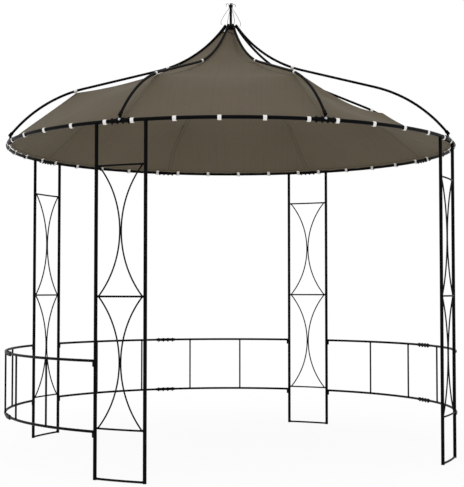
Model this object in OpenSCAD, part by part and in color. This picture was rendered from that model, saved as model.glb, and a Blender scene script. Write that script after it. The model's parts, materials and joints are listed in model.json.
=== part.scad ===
// Round garden gazebo: four curved leg panels carry a tubular eave ring, eight ogee
// rafters rise from it to a crown hub with a finial, and a fabric canopy hangs under
// the rafters. Low fences close three sides and the front side is the entrance.
// Frame: +Z up, origin on the ground at the middle of the plan, entrance towards -Y.

/* [Overall] */
// Outside diameter of the eave ring
eave_d = 3000; // [2800:10:3300]
// Height of the eave ring's centre line above the ground
eave_h = 2000; // [1900:10:2100]
// Height of the crown hub's top above the ground
crown_h = 2860; // [2820:10:2920]

/* [Eave ring] */
// Diameter of the eave tube
eave_tube_d = 22; // [18:1:26]
// Length of an eave sleeve along the ring
eave_sleeve_l = 120; // [90:5:150]
// Wall of the sleeves that join tubes
sleeve_wall = 2.5; // [1.5:0.5:3.5]

/* [Legs] */
// Distance between the centres of a leg's two posts
leg_w = 316; // [260:2:380]
// Diameter of a post
post_d = 21; // [17:1:23]
// Diameter of a cross bar
cross_bar_d = 11; // [9:1:13]
// Height of the upper cross bar
bar_top_h = 1752; // [1700:2:1800]
// Height of the middle cross bar
bar_mid_h = 1020; // [980:2:1060]
// Height of the lower cross bar
bar_low_h = 286; // [270:2:310]
// Diameter of the foot bar between the posts
foot_bar_d = 13; // [11:1:15]
// Height of the foot bar's underside above the ground
foot_bar_up = 1; // [0.5:0.5:4]
// Diameter of the bent rods that fill a leg
scroll_rod_d = 9; // [7:1:10]

/* [Rafters] */
// Diameter of a rafter tube
rafter_d = 16; // [14:1:18]
// Slope of a rafter where it leaves the eave, degrees
foot_slope = 50; // [46:1:54]
// Slope of a rafter where it meets the hub, degrees
crown_slope = 55; // [50:1:60]
// Radius of a rafter's lower bend
shoulder_r = 935; // [865:5:1005]
// Radius of a rafter's upper bend
neck_r = 907; // [870:5:940]
// Distance of a rafter's foot outside the eave tube's centre line
foot_out = 6; // [4:1:12]
// Height of a rafter's foot above the eave tube's centre line
foot_up = 30; // [27:1:36]
// Length of the straight stretch at a rafter's foot
foot_l = 50; // [44:1:56]
// Length of a rafter socket above the rafter's foot
socket_l = 26; // [20:1:34]
// Wall of a rafter socket
socket_wall = 2.5; // [2:0.5:4]

/* [Crown] */
// Diameter of the hub
hub_d = 66; // [60:1:74]
// Height of the hub
hub_h = 27; // [22:1:34]
// Diameter of the finial rod
finial_d = 17; // [14:1:19]
// Height of the finial's tip above the hub
finial_h = 158; // [140:2:180]
// Diameter of the finial's point at its widest
point_d = 24; // [20:1:28]
// Length of the finial's point
point_l = 32; // [26:1:40]
// Diameter of the wire scrolls round the finial
wire_d = 3; // [2.5:0.5:4]
// Reach of the wire scrolls from the finial's axis
wire_reach = 74; // [66:1:80]

/* [Canopy] */
// Thickness of the canopy solid, measured upright
canopy_t = 4; // [3:0.5:6]
// Distance of the lower rafter ties from the axis
tie_low_r = 1075; // [1060:5:1120]
// Distance of the upper rafter ties from the axis
tie_high_r = 452; // [420:4:480]
// Sag of the canopy between the rafters
gore_sag = 26; // [10:1:40]
// Sag of the canopy along a rafter between its ties
ridge_sag = 15; // [8:1:20]
// Number of the rafter that has no lower tie, so that the canopy hangs slack below it
slack_rafter = 8; // [1:1:8]
// Drop of the slack canopy below a tied one
slack_drop = 140; // [110:5:160]
// Number of the rafter on whose side the canopy is drawn up close to the rafters
full_rafter = 5; // [1:1:8]
// Width of the canopy's strap ties
tie_w = 22; // [18:1:28]
// Thickness of a strap tie
tie_t = 2; // [1:0.5:2.5]
// Outer radius of the strap loops that hang on the eave ring
eave_loop_r = 16.5; // [15:0.5:18]
// Outer radius of the strap loops that hang on the rafters
rafter_loop_r = 12.5; // [11:0.5:14]
// Number of strap ties on each eighth of the eave ring
ties_per_rail = 5; // [2:1:7]
// Distance from a rafter to the first strap tie after it, along the eave ring
tie_first = 76; // [74:1:100]
// Distance from the last strap tie to the next rafter, along the eave ring
tie_last = 98; // [74:1:110]

/* [Fences] */
// Diameter of a fence rail
rail_d = 16; // [14:1:17]
// Height of the upper fence rail
rail_top_h = 660; // [600:5:720]
// Height of the lower fence rail
rail_low_h = 266; // [220:2:300]
// Diameter of an upright fence bar
fence_bar_d = 12; // [10:1:13]
// Number of upright bars in a whole fence
fence_bars = 4; // [2:2:6]
// Length of the sleeve that joins two fence halves
fence_sleeve_l = 150; // [110:5:180]
// Diameter of the pin below a rail's end
pin_d = 8; // [6:1:10]
// Length of the pin below the rail
pin_l = 26; // [20:1:34]
// Wall of the socket that takes a pin
pin_wall = 1.5; // [1:0.5:2.5]
// Length of the socket that takes a pin
pin_socket_l = 22; // [16:1:30]

/* [Clearances] */
// Gap between a piece and what it is seated on
seat = 0.3; // [0.2:0.1:0.4]

/* [Hidden] */
$fn = 64;
// Fragments of a tube's section, and of a full turn of a wide bend
SECTION_FN = 48;
BEND_FN = 256;
// Bends are a hair fatter than the straight tube, which runs this far into them
swell = 0.1;
lap = 1;
LEG_NAMES = ["front_left", "front_right", "back_right", "back_left"];

FRAME_COLOUR = "#1b1b1c";
CANOPY_COLOUR = "#6b6153";
STRAP_COLOUR = "#e9e7e2";

// Plan: eave couplers stand every 45 degrees from +X, legs under every second one.
eighth = 45;
LEG_ANGLES = [225, 315, 45, 135];
FENCE_ANGLES = [0, 90, 180];
// Which sides of each leg take a fence: -1 is the clockwise side, 1 the other one.
LEG_FENCE_SIDES = [[-1], [1], [-1, 1], [-1, 1]];
frame_r = (eave_d - eave_tube_d) / 2;
post_r = post_d / 2;
post_a = asin(leg_w / 2 / frame_r);
leg_x = sqrt(frame_r * frame_r - leg_w * leg_w / 4);

// Sleeves: one wall and one clearance outside the tube that they hold.
eave_sleeve_r = eave_tube_d / 2 + seat + sleeve_wall;
rail_sleeve_r = rail_d / 2 + seat + sleeve_wall;
eave_sleeve_a = eave_sleeve_l / frame_r * 180 / PI;
fence_sleeve_a = fence_sleeve_l / frame_r * 180 / PI;
butt_a = seat / frame_r * 180 / PI;

// Rafter centre line in its own upright plane, [distance from the axis, height]:
// a straight foot, a bend round low_c, a straight stretch along the two bends' common
// tangent and a bend round high_c.
rafter_r = rafter_d / 2;
foot_p = [frame_r + foot_out, eave_h + foot_up];
socket_floor = socket_wall;
bend_p = foot_p + foot_l * [-cos(foot_slope), sin(foot_slope)];
low_c = bend_p - shoulder_r * [sin(foot_slope), cos(foot_slope)];
crown_p = [hub_d / 2 + seat + rafter_r * sin(crown_slope), crown_h];
high_c = crown_p + neck_r * [sin(crown_slope), cos(crown_slope)];
spread = high_c - low_c;
rafter_slope = atan2(spread.x, spread.y) + acos((shoulder_r + neck_r) / norm(spread));
knee_p = low_c + shoulder_r * [sin(rafter_slope), cos(rafter_slope)];
throat_p = high_c - neck_r * [sin(rafter_slope), cos(rafter_slope)];
straight_l = norm(knee_p - throat_p);

// Slope of the rafter's centre line at a distance r from the axis, and its point there.
function slope_at(r) =
    r > knee_p.x ? asin((r - low_c.x) / shoulder_r)
    : r > throat_p.x ? rafter_slope
    : asin((high_c.x - r) / neck_r);
function rafter_at(r) =
    r > knee_p.x ? [r, low_c.y + shoulder_r * cos(slope_at(r))]
    : r > throat_p.x ? [r, knee_p.y + (knee_p.x - r) * tan(rafter_slope)]
    : [r, high_c.y - neck_r * cos(slope_at(r))];

// Canopy on a rafter's plane, [distance from the axis, height]: from the eyelets at the
// eave to the lower ties, up to the upper ties, and then up to the peak below the hub.
rafter_loop_drop = rafter_loop_r - tie_t - rafter_r - seat;
eave_loop_drop = eave_loop_r - tie_t - eave_tube_d / 2 - seat;
strap_seat = rafter_loop_drop + rafter_loop_r + seat;
function under_rafter(r) =
    rafter_at(r) - strap_seat * [sin(slope_at(r)), cos(slope_at(r))];
function between(a, b, t) = a + (b - a) * t;
// The canopy's edge rests on the loops' inner shoulders, halfway between the side and the
// top of the eave tube, and clears the sleeves.
loop_off = sqrt(pow(eave_loop_r + seat, 2) - pow(eave_loop_drop, 2) / 2) - eave_loop_drop / sqrt(2);
edge_off = max(loop_off, eave_sleeve_r + seat) / sqrt(2);
edge_p = [frame_r - edge_off, eave_h + edge_off + canopy_t];
low_p = under_rafter(tie_low_r);
high_p = under_rafter(tie_high_r);
peak_p = [hub_d / 3, crown_h - hub_h - seat];
peak_fall = (peak_p.y - high_p.y) / ln(high_p.x / peak_p.x);
throat_r = hub_d;
SKIRT_STEPS = 4;
ROOF_STEPS = 4;
PEAK_STEPS = 6;
GORE_STEPS = 6;
AROUND = 8 * GORE_STEPS;

// A side's share, 1 at its rafter and falling to 0 over the given number of eighths.
function turn_from(a, n) = abs((a - eighth * (n - 1) + 540) % 360 - 180) / eighth;
// The slack reaches a little past the two neighbouring rafters.
SLACK_REACH = 1.12;
SLACK_SKEW = 1.3;
function slackness(a) = max(0, 1 - pow(turn_from(a, slack_rafter) / SLACK_REACH, 2));
function fullness(a) = max(0, min(1, 2 - turn_from(a, full_rafter)));

// Above the upper ties: a free spire, or cloth close under the rafters on the full side.
function spire(t) =
    let (r = high_p.x * pow(peak_p.x / high_p.x, t))
    [r, peak_p.y - peak_fall * ln(r / peak_p.x)];
function neck(t, full) =
    t == 1 ? peak_p : between(spire(t), under_rafter(tie_high_r * pow(throat_r / tie_high_r, t)), full);

// Stations at angle a, [distance, height, flatness, sag]: flatness 0 follows the eave
// circle and 1 runs straight from rafter to rafter.
function stations(a) = concat(
    [for (k = [0:SKIRT_STEPS - 1]) let (t = k / SKIRT_STEPS)
        concat(between(edge_p, low_p, t), [t, t])],
    [for (k = [0:ROOF_STEPS]) let (t = k / ROOF_STEPS)
        concat(between(low_p, high_p, t) - [0, ridge_sag * sin(180 * t)], [1, 1 - t / 2])],
    [for (k = [1:PEAK_STEPS]) let (t = k / PEAK_STEPS)
        concat(neck(t, fullness(a)), [1 - t, (1 - t) / 2])]
);
ROWS = SKIRT_STEPS + ROOF_STEPS + 1 + PEAK_STEPS;
CANOPY_ANGLES = [for (i = [0:AROUND - 1]) 360 * i / AROUND];
STATIONS = [for (a = CANOPY_ANGLES) stations(a)];
function slack_at(a, r) =
    let (reach = max(0, (r - tie_high_r) / (edge_p.x - tie_high_r)))
    slack_drop * slackness(a) * sin(180 * pow(reach, SLACK_SKEW));
function canopy_point(k, i) =
    let (
        s = STATIONS[i][k],
        a = CANOPY_ANGLES[i],
        across = (i % GORE_STEPS) / GORE_STEPS,
        chord = cos(eighth / 2) / cos(eighth * (across - 0.5)),
        r = s[0] * between(1, chord, s[2]),
        sag = gore_sag * s[3] * sin(180 * across)
    )
    [r * cos(a), r * sin(a), s[1] - sag - slack_at(a, s[0])];

// Fence: equal bays from post to post, rails just clear of the posts, and pins in sockets
// on the posts' sides.
weld = 1;
pin_socket_r = pin_d / 2 + seat + pin_wall;
pin_a = post_a + 2 * asin((post_r + pin_socket_r - weld) / 2 / frame_r);
rail_end_a = post_a + 2 * asin((post_r + seat) / 2 / frame_r);
bay_a = (90 - 2 * post_a) / (fence_bars + 1);
RAIL_HEIGHTS = [rail_low_h, rail_top_h];

// A round bar bent to radius bend about the Z axis, from angle a0 to angle a1.
module bent_bar(bend, bar_r, z, a0, a1) {
    rotate([0, 0, a0])
        rotate_extrude(angle = a1 - a0, $fn = BEND_FN)
            translate([bend, z])
                circle(r = bar_r, $fn = SECTION_FN);
}

// A tube bent the same way.
module bent_tube(bend, outer_r, inner_r, z, a0, a1) {
    rotate([0, 0, a0])
        rotate_extrude(angle = a1 - a0, $fn = BEND_FN)
            translate([bend, z])
                difference() {
                    circle(r = outer_r, $fn = SECTION_FN);
                    circle(r = inner_r, $fn = SECTION_FN);
                }
}

// A straight round bar from p along a slope that rises towards the axis.
module sloped_bar(p, slope, length, bar_r) {
    translate([p.x, 0, p.y])
        rotate([0, slope - 90, 0])
            cylinder(h = length, r = bar_r);
}

// A bar bent in the upright XZ plane round centre c, from angle a0 to a1 above +X.
module upright_bend(c, bend, bar_r, a0, a1) {
    translate([c.x, 0, c.y])
        rotate([90, 0, 0])
            bent_bar(bend, bar_r, 0, a0, a1);
}

// Legs: two posts whose tops are coped to the eave, curved cross bars between them and
// the sockets for the fences' pins at their sides.
module posts() {
    difference() {
        for (side = [-1, 1])
            translate([leg_x, side * leg_w / 2, 0])
                cylinder(h = eave_h, d = post_d);
        bent_bar(frame_r, eave_tube_d / 2 + seat, eave_h, -post_a - 2, post_a + 2);
    }
}

module pin_sockets(side) {
    for (h = RAIL_HEIGHTS)
        rotate([0, 0, side * pin_a])
            translate([frame_r, 0, h - rail_d / 2 - seat - pin_socket_l])
                difference() {
                    cylinder(h = pin_socket_l, r = pin_socket_r);
                    translate([0, 0, -weld])
                        cylinder(h = pin_socket_l + 2 * weld, r = pin_d / 2 + seat);
                }
}

module leg(n) {
    color(FRAME_COLOUR)
        rotate([0, 0, LEG_ANGLES[n]])
            union() {
                posts();
                for (h = [bar_low_h, bar_mid_h, bar_top_h])
                    bent_bar(frame_r, cross_bar_d / 2, h, -post_a, post_a);
                bent_bar(frame_r, foot_bar_d / 2, foot_bar_up + foot_bar_d / 2, -post_a, post_a);
                for (side = LEG_FENCE_SIDES[n])
                    pin_sockets(side);
            }
}

// Bent rods: in each bay two arcs spring from the corners and meet at the middle.
module leg_scrolls(n) {
    rod_r = scroll_rod_d / 2;
    mid_y = rod_r + seat / 2;
    end_y = leg_w / 2 - post_r - 0.75 * scroll_rod_d;
    color(FRAME_COLOUR)
        rotate([0, 0, LEG_ANGLES[n]])
            for (bay = [[bar_low_h, bar_mid_h], [bar_mid_h, bar_top_h]], side = [-1, 1]) {
                half = (bay[1] - bay[0]) / 2;
                rise = end_y - mid_y;
                bend = (half * half + rise * rise) / 2 / rise;
                reach = half - cross_bar_d / 2 - seat;
                turn = asin(reach / bend);
                translate([leg_x, side * (mid_y + bend), (bay[0] + bay[1]) / 2])
                    rotate([0, 90, 0])
                        bent_bar(bend, rod_r, 0, -side * 90 - turn, -side * 90 + turn);
            }
}

// Eave ring: eight bent tubes that butt inside eight sleeves.
module eave_rail(k) {
    color(FRAME_COLOUR)
        bent_bar(frame_r, eave_tube_d / 2, eave_h, eighth * (k - 1) + butt_a, eighth * k - butt_a);
}

module eave_coupler(k) {
    color(FRAME_COLOUR)
        rotate([0, 0, eighth * (k - 1)])
            difference() {
                union() {
                    bent_bar(frame_r, eave_sleeve_r, eave_h, -eave_sleeve_a / 2, eave_sleeve_a / 2);
                    translate([frame_r + foot_out / 4, 0, eave_h])
                        cylinder(h = foot_up - 2, r = eave_sleeve_r / 2);
                    sloped_bar(
                        foot_p + socket_floor * [cos(foot_slope), -sin(foot_slope)],
                        foot_slope, socket_l + socket_floor, rafter_r + seat + socket_wall
                    );
                }
                bent_bar(frame_r, eave_tube_d / 2 + seat, eave_h, -eave_sleeve_a, eave_sleeve_a);
                sloped_bar(foot_p, foot_slope, 2 * socket_l, rafter_r + seat);
            }
}

// Rafter: one tube, straight in its socket, over the shoulder and up the neck.
module rafter(k) {
    color(FRAME_COLOUR)
        rotate([0, 0, eighth * (k - 1)])
            union() {
                sloped_bar(
                    foot_p + seat * [-cos(foot_slope), sin(foot_slope)],
                    foot_slope, foot_l - seat + lap, rafter_r
                );
                upright_bend(low_c, shoulder_r, rafter_r + swell, 90 - foot_slope, 90 - rafter_slope);
                sloped_bar(
                    knee_p + lap * [cos(rafter_slope), -sin(rafter_slope)],
                    rafter_slope, straight_l + 2 * lap, rafter_r
                );
                upright_bend(high_c, neck_r, rafter_r + swell, 270 - crown_slope, 270 - rafter_slope);
            }
}

// Crown: a turned hub, and a rod with a point.
module crown_hub() {
    chamfer = 3;
    color(FRAME_COLOUR)
        translate([0, 0, crown_h - hub_h])
            rotate_extrude()
                polygon([
                    [0, 0],
                    [hub_d / 2 - chamfer, 0],
                    [hub_d / 2, chamfer],
                    [hub_d / 2, hub_h - chamfer],
                    [hub_d / 2 - chamfer, hub_h],
                    [0, hub_h]
                ]);
}

module finial() {
    color(FRAME_COLOUR)
        translate([0, 0, crown_h])
            rotate_extrude()
                polygon([
                    [0, 0],
                    [finial_d / 2, 0],
                    [finial_d / 2, finial_h - point_l],
                    [point_d / 2, finial_h - 2 / 3 * point_l],
                    [finial_d / 4, finial_h - 2],
                    [finial_d / 8, finial_h],
                    [0, finial_h]
                ]);
}

// Wire scroll in its own plane: a small curl at the top and a large one at the foot.
WIRE_SIDES = 8;
wire_in = finial_d / 2 + seat + wire_d / 2;
wire_out = wire_reach - wire_d / 2;
wire_neck = crown_h + finial_h - point_l - seat - wire_d;
foot_curl = 0.22 * wire_reach;
foot_curl_p = [wire_out - foot_curl, crown_h + wire_d / 2 + foot_curl];
head_curl = 0.14 * wire_reach;
head_curl_p = [point_d / 2 + seat + wire_d / 2 + head_curl, crown_h + finial_h - point_l / 2];
WIRE_PATH = concat(
    [for (a = [-70:14:0]) foot_curl_p + foot_curl * [cos(a), sin(a)]],
    [for (t = [0.1:0.1:1])
        [between(wire_out, wire_in, pow(t, 1.3)), between(foot_curl_p.y, wire_neck, t)]],
    [for (a = [200:-23.5:-35]) head_curl_p + head_curl * [cos(a), sin(a)]]
);

module wire_scroll() {
    n = len(WIRE_PATH);
    rings = [for (k = [0:n - 1])
        let (
            before = WIRE_PATH[max(k - 1, 0)],
            after = WIRE_PATH[min(k + 1, n - 1)],
            along = (after - before) / norm(after - before)
        )
        for (i = [0:WIRE_SIDES - 1])
            let (a = 360 * i / WIRE_SIDES, across = wire_d / 2 * cos(a))
            [
                WIRE_PATH[k].x + across * along.y,
                wire_d / 2 * sin(a),
                WIRE_PATH[k].y - across * along.x
            ]];
    sides = [for (k = [0:n - 2], i = [0:WIRE_SIDES - 1])
        let (
            a = k * WIRE_SIDES + i,
            b = k * WIRE_SIDES + (i + 1) % WIRE_SIDES
        )
        [a, a + WIRE_SIDES, b + WIRE_SIDES, b]];
    start = [for (i = [0:WIRE_SIDES - 1]) i];
    finish = [for (i = [WIRE_SIDES - 1:-1:0]) (n - 1) * WIRE_SIDES + i];
    polyhedron(points = rings, faces = concat(sides, [start, finish]));
}

module finial_scrolls() {
    color(FRAME_COLOUR)
        for (a = [0:90:270])
            rotate([0, 0, a])
                wire_scroll();
}

// Canopy: one closed sheet of eight gores, pulled up to the hub and tied to the frame.
module canopy() {
    upper = [for (k = [0:ROWS - 1], i = [0:AROUND - 1]) canopy_point(k, i)];
    lower = [for (p = upper) p - [0, 0, canopy_t]];
    count = ROWS * AROUND;
    skin = [for (k = [0:ROWS - 2], i = [0:AROUND - 1])
        let (
            a = k * AROUND + i,
            b = k * AROUND + (i + 1) % AROUND
        )
        each [[a, a + AROUND, b + AROUND], [a, b + AROUND, b]]];
    lining = [for (f = skin) [f[2] + count, f[1] + count, f[0] + count]];
    hem = [for (i = [0:AROUND - 1])
        let (b = (i + 1) % AROUND)
        each [[i, b, b + count], [i, b + count, i + count]]];
    last = (ROWS - 1) * AROUND;
    cap = [for (i = [1:AROUND - 2]) [last, last + i + 1, last + i]];
    cap_below = [for (f = cap) [f[2] + count, f[1] + count, f[0] + count]];
    color(CANOPY_COLOUR)
        polyhedron(
            points = concat(upper, lower),
            faces = concat(skin, lining, hem, cap, cap_below),
            convexity = 4
        );
}

// Ties: strap loops that hang on the eave tube and on each rafter, at the canopy's eyelets.
module canopy_ties() {
    half_a = tie_w / 2 / frame_r * 180 / PI;
    first_a = tie_first / frame_r * 180 / PI;
    last_a = eighth - tie_last / frame_r * 180 / PI;
    color(STRAP_COLOUR) {
        for (k = [0:7], i = [0:ties_per_rail - 1]) {
            a = eighth * k + between(first_a, last_a, i / (ties_per_rail - 1));
            bent_tube(
                frame_r, eave_loop_r, eave_loop_r - tie_t, eave_h - eave_loop_drop,
                a - half_a, a + half_a
            );
        }
        for (k = [1:8], r = k == slack_rafter ? [tie_high_r] : [tie_low_r, tie_high_r]) {
            // Where the canopy hangs lower, the loop is longer by as much.
            longer = slack_at(eighth * (k - 1), r) * cos(slope_at(r)) / 2;
            rotate([0, 0, eighth * (k - 1)])
                translate([rafter_at(r).x, 0, rafter_at(r).y])
                    rotate([0, slope_at(r) - 90, 0])
                        translate([-rafter_loop_drop - longer, 0, 0])
                            difference() {
                                cylinder(h = tie_w, r = rafter_loop_r + longer, center = true);
                                cylinder(h = 2 * tie_w, r = rafter_loop_r + longer - tie_t, center = true);
                            }
        }
    }
}

// Fence half: two bent rails with upright bars between them and a pin below each end.
// side is -1 for the half that ends at the clockwise leg and 1 for the other half.
module fence_half(c, side) {
    end_a = eighth - rail_end_a;
    color(FRAME_COLOUR)
        rotate([0, 0, c])
            union() {
                for (h = RAIL_HEIGHTS) {
                    bent_bar(
                        frame_r, rail_d / 2, h, side > 0 ? butt_a : -end_a, side > 0 ? end_a : -butt_a
                    );
                    rotate([0, 0, side * (eighth - pin_a)])
                        translate([frame_r, 0, h - rail_d / 2 - pin_l])
                            cylinder(h = pin_l + rail_d / 2, d = pin_d);
                }
                for (i = [0:fence_bars / 2 - 1])
                    rotate([0, 0, side * (i + 0.5) * bay_a])
                        translate([frame_r, 0, rail_low_h])
                            cylinder(h = rail_top_h - rail_low_h, d = fence_bar_d);
            }
}

module fence_couplers() {
    color(FRAME_COLOUR)
        for (c = FENCE_ANGLES, h = RAIL_HEIGHTS)
            bent_tube(
                frame_r, rail_sleeve_r, rail_d / 2 + seat, h,
                c - fence_sleeve_a / 2, c + fence_sleeve_a / 2
            );
}

leg(0);  // leg_front_left
leg(1);  // leg_front_right
leg(2);  // leg_back_right
leg(3);  // leg_back_left
leg_scrolls(0);  // leg_scrolls_front_left
leg_scrolls(1);  // leg_scrolls_front_right
leg_scrolls(2);  // leg_scrolls_back_right
leg_scrolls(3);  // leg_scrolls_back_left
eave_rail(1);  // eave_rail_1
eave_rail(2);  // eave_rail_2
eave_rail(3);  // eave_rail_3
eave_rail(4);  // eave_rail_4
eave_rail(5);  // eave_rail_5
eave_rail(6);  // eave_rail_6
eave_rail(7);  // eave_rail_7
eave_rail(8);  // eave_rail_8
eave_coupler(1);  // eave_coupler_1
eave_coupler(2);  // eave_coupler_2
eave_coupler(3);  // eave_coupler_3
eave_coupler(4);  // eave_coupler_4
eave_coupler(5);  // eave_coupler_5
eave_coupler(6);  // eave_coupler_6
eave_coupler(7);  // eave_coupler_7
eave_coupler(8);  // eave_coupler_8
rafter(1);  // rafter_1
rafter(2);  // rafter_2
rafter(3);  // rafter_3
rafter(4);  // rafter_4
rafter(5);  // rafter_5
rafter(6);  // rafter_6
rafter(7);  // rafter_7
rafter(8);  // rafter_8
crown_hub();
finial();
finial_scrolls();
canopy();
canopy_ties();
fence_half(0, -1);  // fence_right_a
fence_half(0, 1);  // fence_right_b
fence_half(90, -1);  // fence_back_a
fence_half(90, 1);  // fence_back_b
fence_half(180, -1);  // fence_left_a
fence_half(180, 1);  // fence_left_b
fence_couplers();
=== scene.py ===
"""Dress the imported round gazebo: painted steel, clamped sleeves, cloth canopy and strap ties."""
import sys
import json
import logging
import math
from collections.abc import Callable, Iterable, Sequence
from dataclasses import dataclass, field
from enum import Enum

import bpy
from mathutils import Matrix, Vector


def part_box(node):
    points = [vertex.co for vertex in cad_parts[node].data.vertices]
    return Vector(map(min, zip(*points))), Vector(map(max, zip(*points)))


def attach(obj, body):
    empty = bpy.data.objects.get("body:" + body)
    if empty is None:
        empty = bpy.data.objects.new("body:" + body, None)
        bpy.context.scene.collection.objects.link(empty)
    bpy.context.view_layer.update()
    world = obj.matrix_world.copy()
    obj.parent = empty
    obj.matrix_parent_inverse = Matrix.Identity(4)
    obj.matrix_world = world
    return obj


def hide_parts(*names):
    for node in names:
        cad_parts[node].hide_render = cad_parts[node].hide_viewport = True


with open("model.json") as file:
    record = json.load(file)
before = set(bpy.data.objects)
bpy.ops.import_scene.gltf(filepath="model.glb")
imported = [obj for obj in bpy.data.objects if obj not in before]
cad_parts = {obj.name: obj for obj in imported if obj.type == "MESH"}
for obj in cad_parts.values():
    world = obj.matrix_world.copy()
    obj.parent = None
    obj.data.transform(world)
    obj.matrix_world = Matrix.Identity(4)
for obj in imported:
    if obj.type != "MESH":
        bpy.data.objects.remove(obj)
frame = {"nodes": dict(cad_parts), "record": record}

LOG = logging.getLogger("gazebo")
BODY = "root"
MM = 0.001
EIGHTH = math.radians(45)
WHITE = (1.0, 1.0, 1.0, 1.0)

Piece = bpy.types.Object
Material = bpy.types.Material
Socket = bpy.types.NodeSocket
Value = float | Socket
Links = dict[str | int, object]


class Slot(Enum):
    """Material slots that the record names."""

    FRAME = "frame"
    CANOPY = "canopy"
    TIES = "ties"


# ---------------------------------------------------------------- modelling helpers


def clear_selection() -> None:
    """Leave every object deselected, in object mode."""
    if bpy.context.object and bpy.context.object.mode != "OBJECT":
        bpy.ops.object.mode_set(mode="OBJECT")
    bpy.ops.object.select_all(action="DESELECT")


def activate(obj: Piece) -> None:
    """Select one object alone and make it active.

    Args:
        obj: The object.
    """
    clear_selection()
    obj.select_set(True)
    bpy.context.view_layer.objects.active = obj


def edit(obj: Piece) -> None:
    """Open an object in edit mode with all of it selected.

    Args:
        obj: The object.
    """
    activate(obj)
    bpy.ops.object.mode_set(mode="EDIT")
    bpy.ops.mesh.select_all(action="SELECT")


def pick(obj: Piece, test: Callable[[Vector], bool]) -> None:
    """Select only the points of the object in edit mode that pass a test.

    Args:
        obj: Object that is open in edit mode.
        test: Takes a point in metres and says whether it is wanted.
    """
    bpy.ops.mesh.select_mode(type="VERT")
    bpy.ops.mesh.select_all(action="DESELECT")
    bpy.ops.object.mode_set(mode="OBJECT")
    for vertex in obj.data.vertices:
        vertex.select = test(vertex.co)
    bpy.ops.object.mode_set(mode="EDIT")


def apply_modifier(obj: Piece, kind: str, **settings: object) -> None:
    """Add a modifier and apply it at once.

    Args:
        obj: The object.
        kind: The modifier's type.
        settings: Properties of the modifier.
    """
    activate(obj)
    modifier = obj.modifiers.new(kind.title(), kind)
    for name, value in settings.items():
        setattr(modifier, name, value)
    bpy.ops.object.modifier_apply(modifier=modifier.name)


def face_outwards(obj: Piece) -> Piece:
    """Merge doubled points and turn every face outwards.

    Args:
        obj: A closed shape, or a tube with open ends.

    Returns:
        The same object, in object mode.
    """
    edit(obj)
    bpy.ops.mesh.remove_doubles(threshold=0.01 * MM)
    bpy.ops.mesh.normals_make_consistent(inside=False)
    bpy.ops.object.mode_set(mode="OBJECT")
    return obj


def set_in_place(obj: Piece, matrix: Matrix | None = None) -> Piece:
    """Put an object's place, and a further one if given, into its mesh.

    Args:
        obj: The object.
        matrix: The further place.

    Returns:
        The same object.
    """
    activate(obj)
    bpy.ops.object.transform_apply(location=True, rotation=True, scale=True)
    if matrix is not None:
        obj.data.transform(matrix)
    return obj


def copy_to(obj: Piece, matrix: Matrix) -> Piece:
    """Copy a finished piece, with a mesh of its own.

    Args:
        obj: The piece.
        matrix: Its move to the new place.

    Returns:
        The copy.
    """
    twin = obj.copy()
    twin.data = obj.data.copy()
    twin.data.transform(matrix)
    bpy.context.scene.collection.objects.link(twin)
    return twin


def join(name: str, parts: Sequence[Piece]) -> Piece:
    """Join parts into one named piece.

    Args:
        name: Name of the piece.
        parts: Objects whose places are already in their meshes.

    Returns:
        The joined object.
    """
    clear_selection()
    for part in parts:
        part.select_set(True)
    bpy.context.view_layer.objects.active = parts[0]
    if len(parts) > 1:
        bpy.ops.object.join()
    whole = bpy.context.view_layer.objects.active
    whole.name = name
    whole.data.name = name
    return whole


def spread(pattern: Piece, places: Iterable[Matrix]) -> list[Piece]:
    """Copy a pattern piece to every place and remove the pattern.

    Args:
        pattern: Finished piece at the origin.
        places: Where the copies go.

    Returns:
        The copies, in the order of their places.
    """
    copies = [copy_to(pattern, place) for place in places]
    bpy.data.objects.remove(pattern)
    return copies


def new_piece(
    name: str, points: Sequence[Vector], faces: Sequence[tuple[int, ...]]
) -> tuple[Piece, bpy.types.MeshUVLoopLayer]:
    """Make a piece from points and faces, for cloth that is laid out by its own formula.

    Args:
        name: Name of the piece.
        points: Its points, in metres.
        faces: Point numbers of each face.

    Returns:
        The piece and its empty cloth map.
    """
    mesh = bpy.data.meshes.new(name)
    mesh.from_pydata(points, [], faces)
    piece = bpy.data.objects.new(name, mesh)
    bpy.context.scene.collection.objects.link(piece)
    return piece, mesh.uv_layers.new(name="cloth")


def smooth(obj: Piece, angle: float = 35) -> Piece:
    """Shade faces smooth up to an angle.

    Args:
        obj: The piece.
        angle: Widest angle that still looks smooth, in degrees.

    Returns:
        The same piece.
    """
    activate(obj)
    bpy.ops.object.shade_smooth_by_angle(angle=math.radians(angle))
    return obj


def circle(
    name: str, sides: int, radius: float, centre: Sequence[float], upright: bool, turn: float = 0.0
) -> Piece:
    """Draw the circle that a part starts from and open it in edit mode.

    Args:
        name: Name of the part.
        sides: Sides of the circle.
        radius: Its radius.
        centre: Its middle, in metres.
        upright: Whether it stands open on the XZ plane or lies filled on the XY plane.
        turn: Angle that it is then turned by about the Z axis, in radians.

    Returns:
        The part, with all of it selected.
    """
    clear_selection()
    bpy.ops.mesh.primitive_circle_add(
        vertices=sides, radius=radius, fill_type="NOTHING" if upright else "NGON",
        location=centre, rotation=(math.pi / 2 if upright else 0, 0, 0),
    )
    part = set_in_place(bpy.context.object, about_z(turn))
    part.name = name
    edit(part)
    return part


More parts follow.
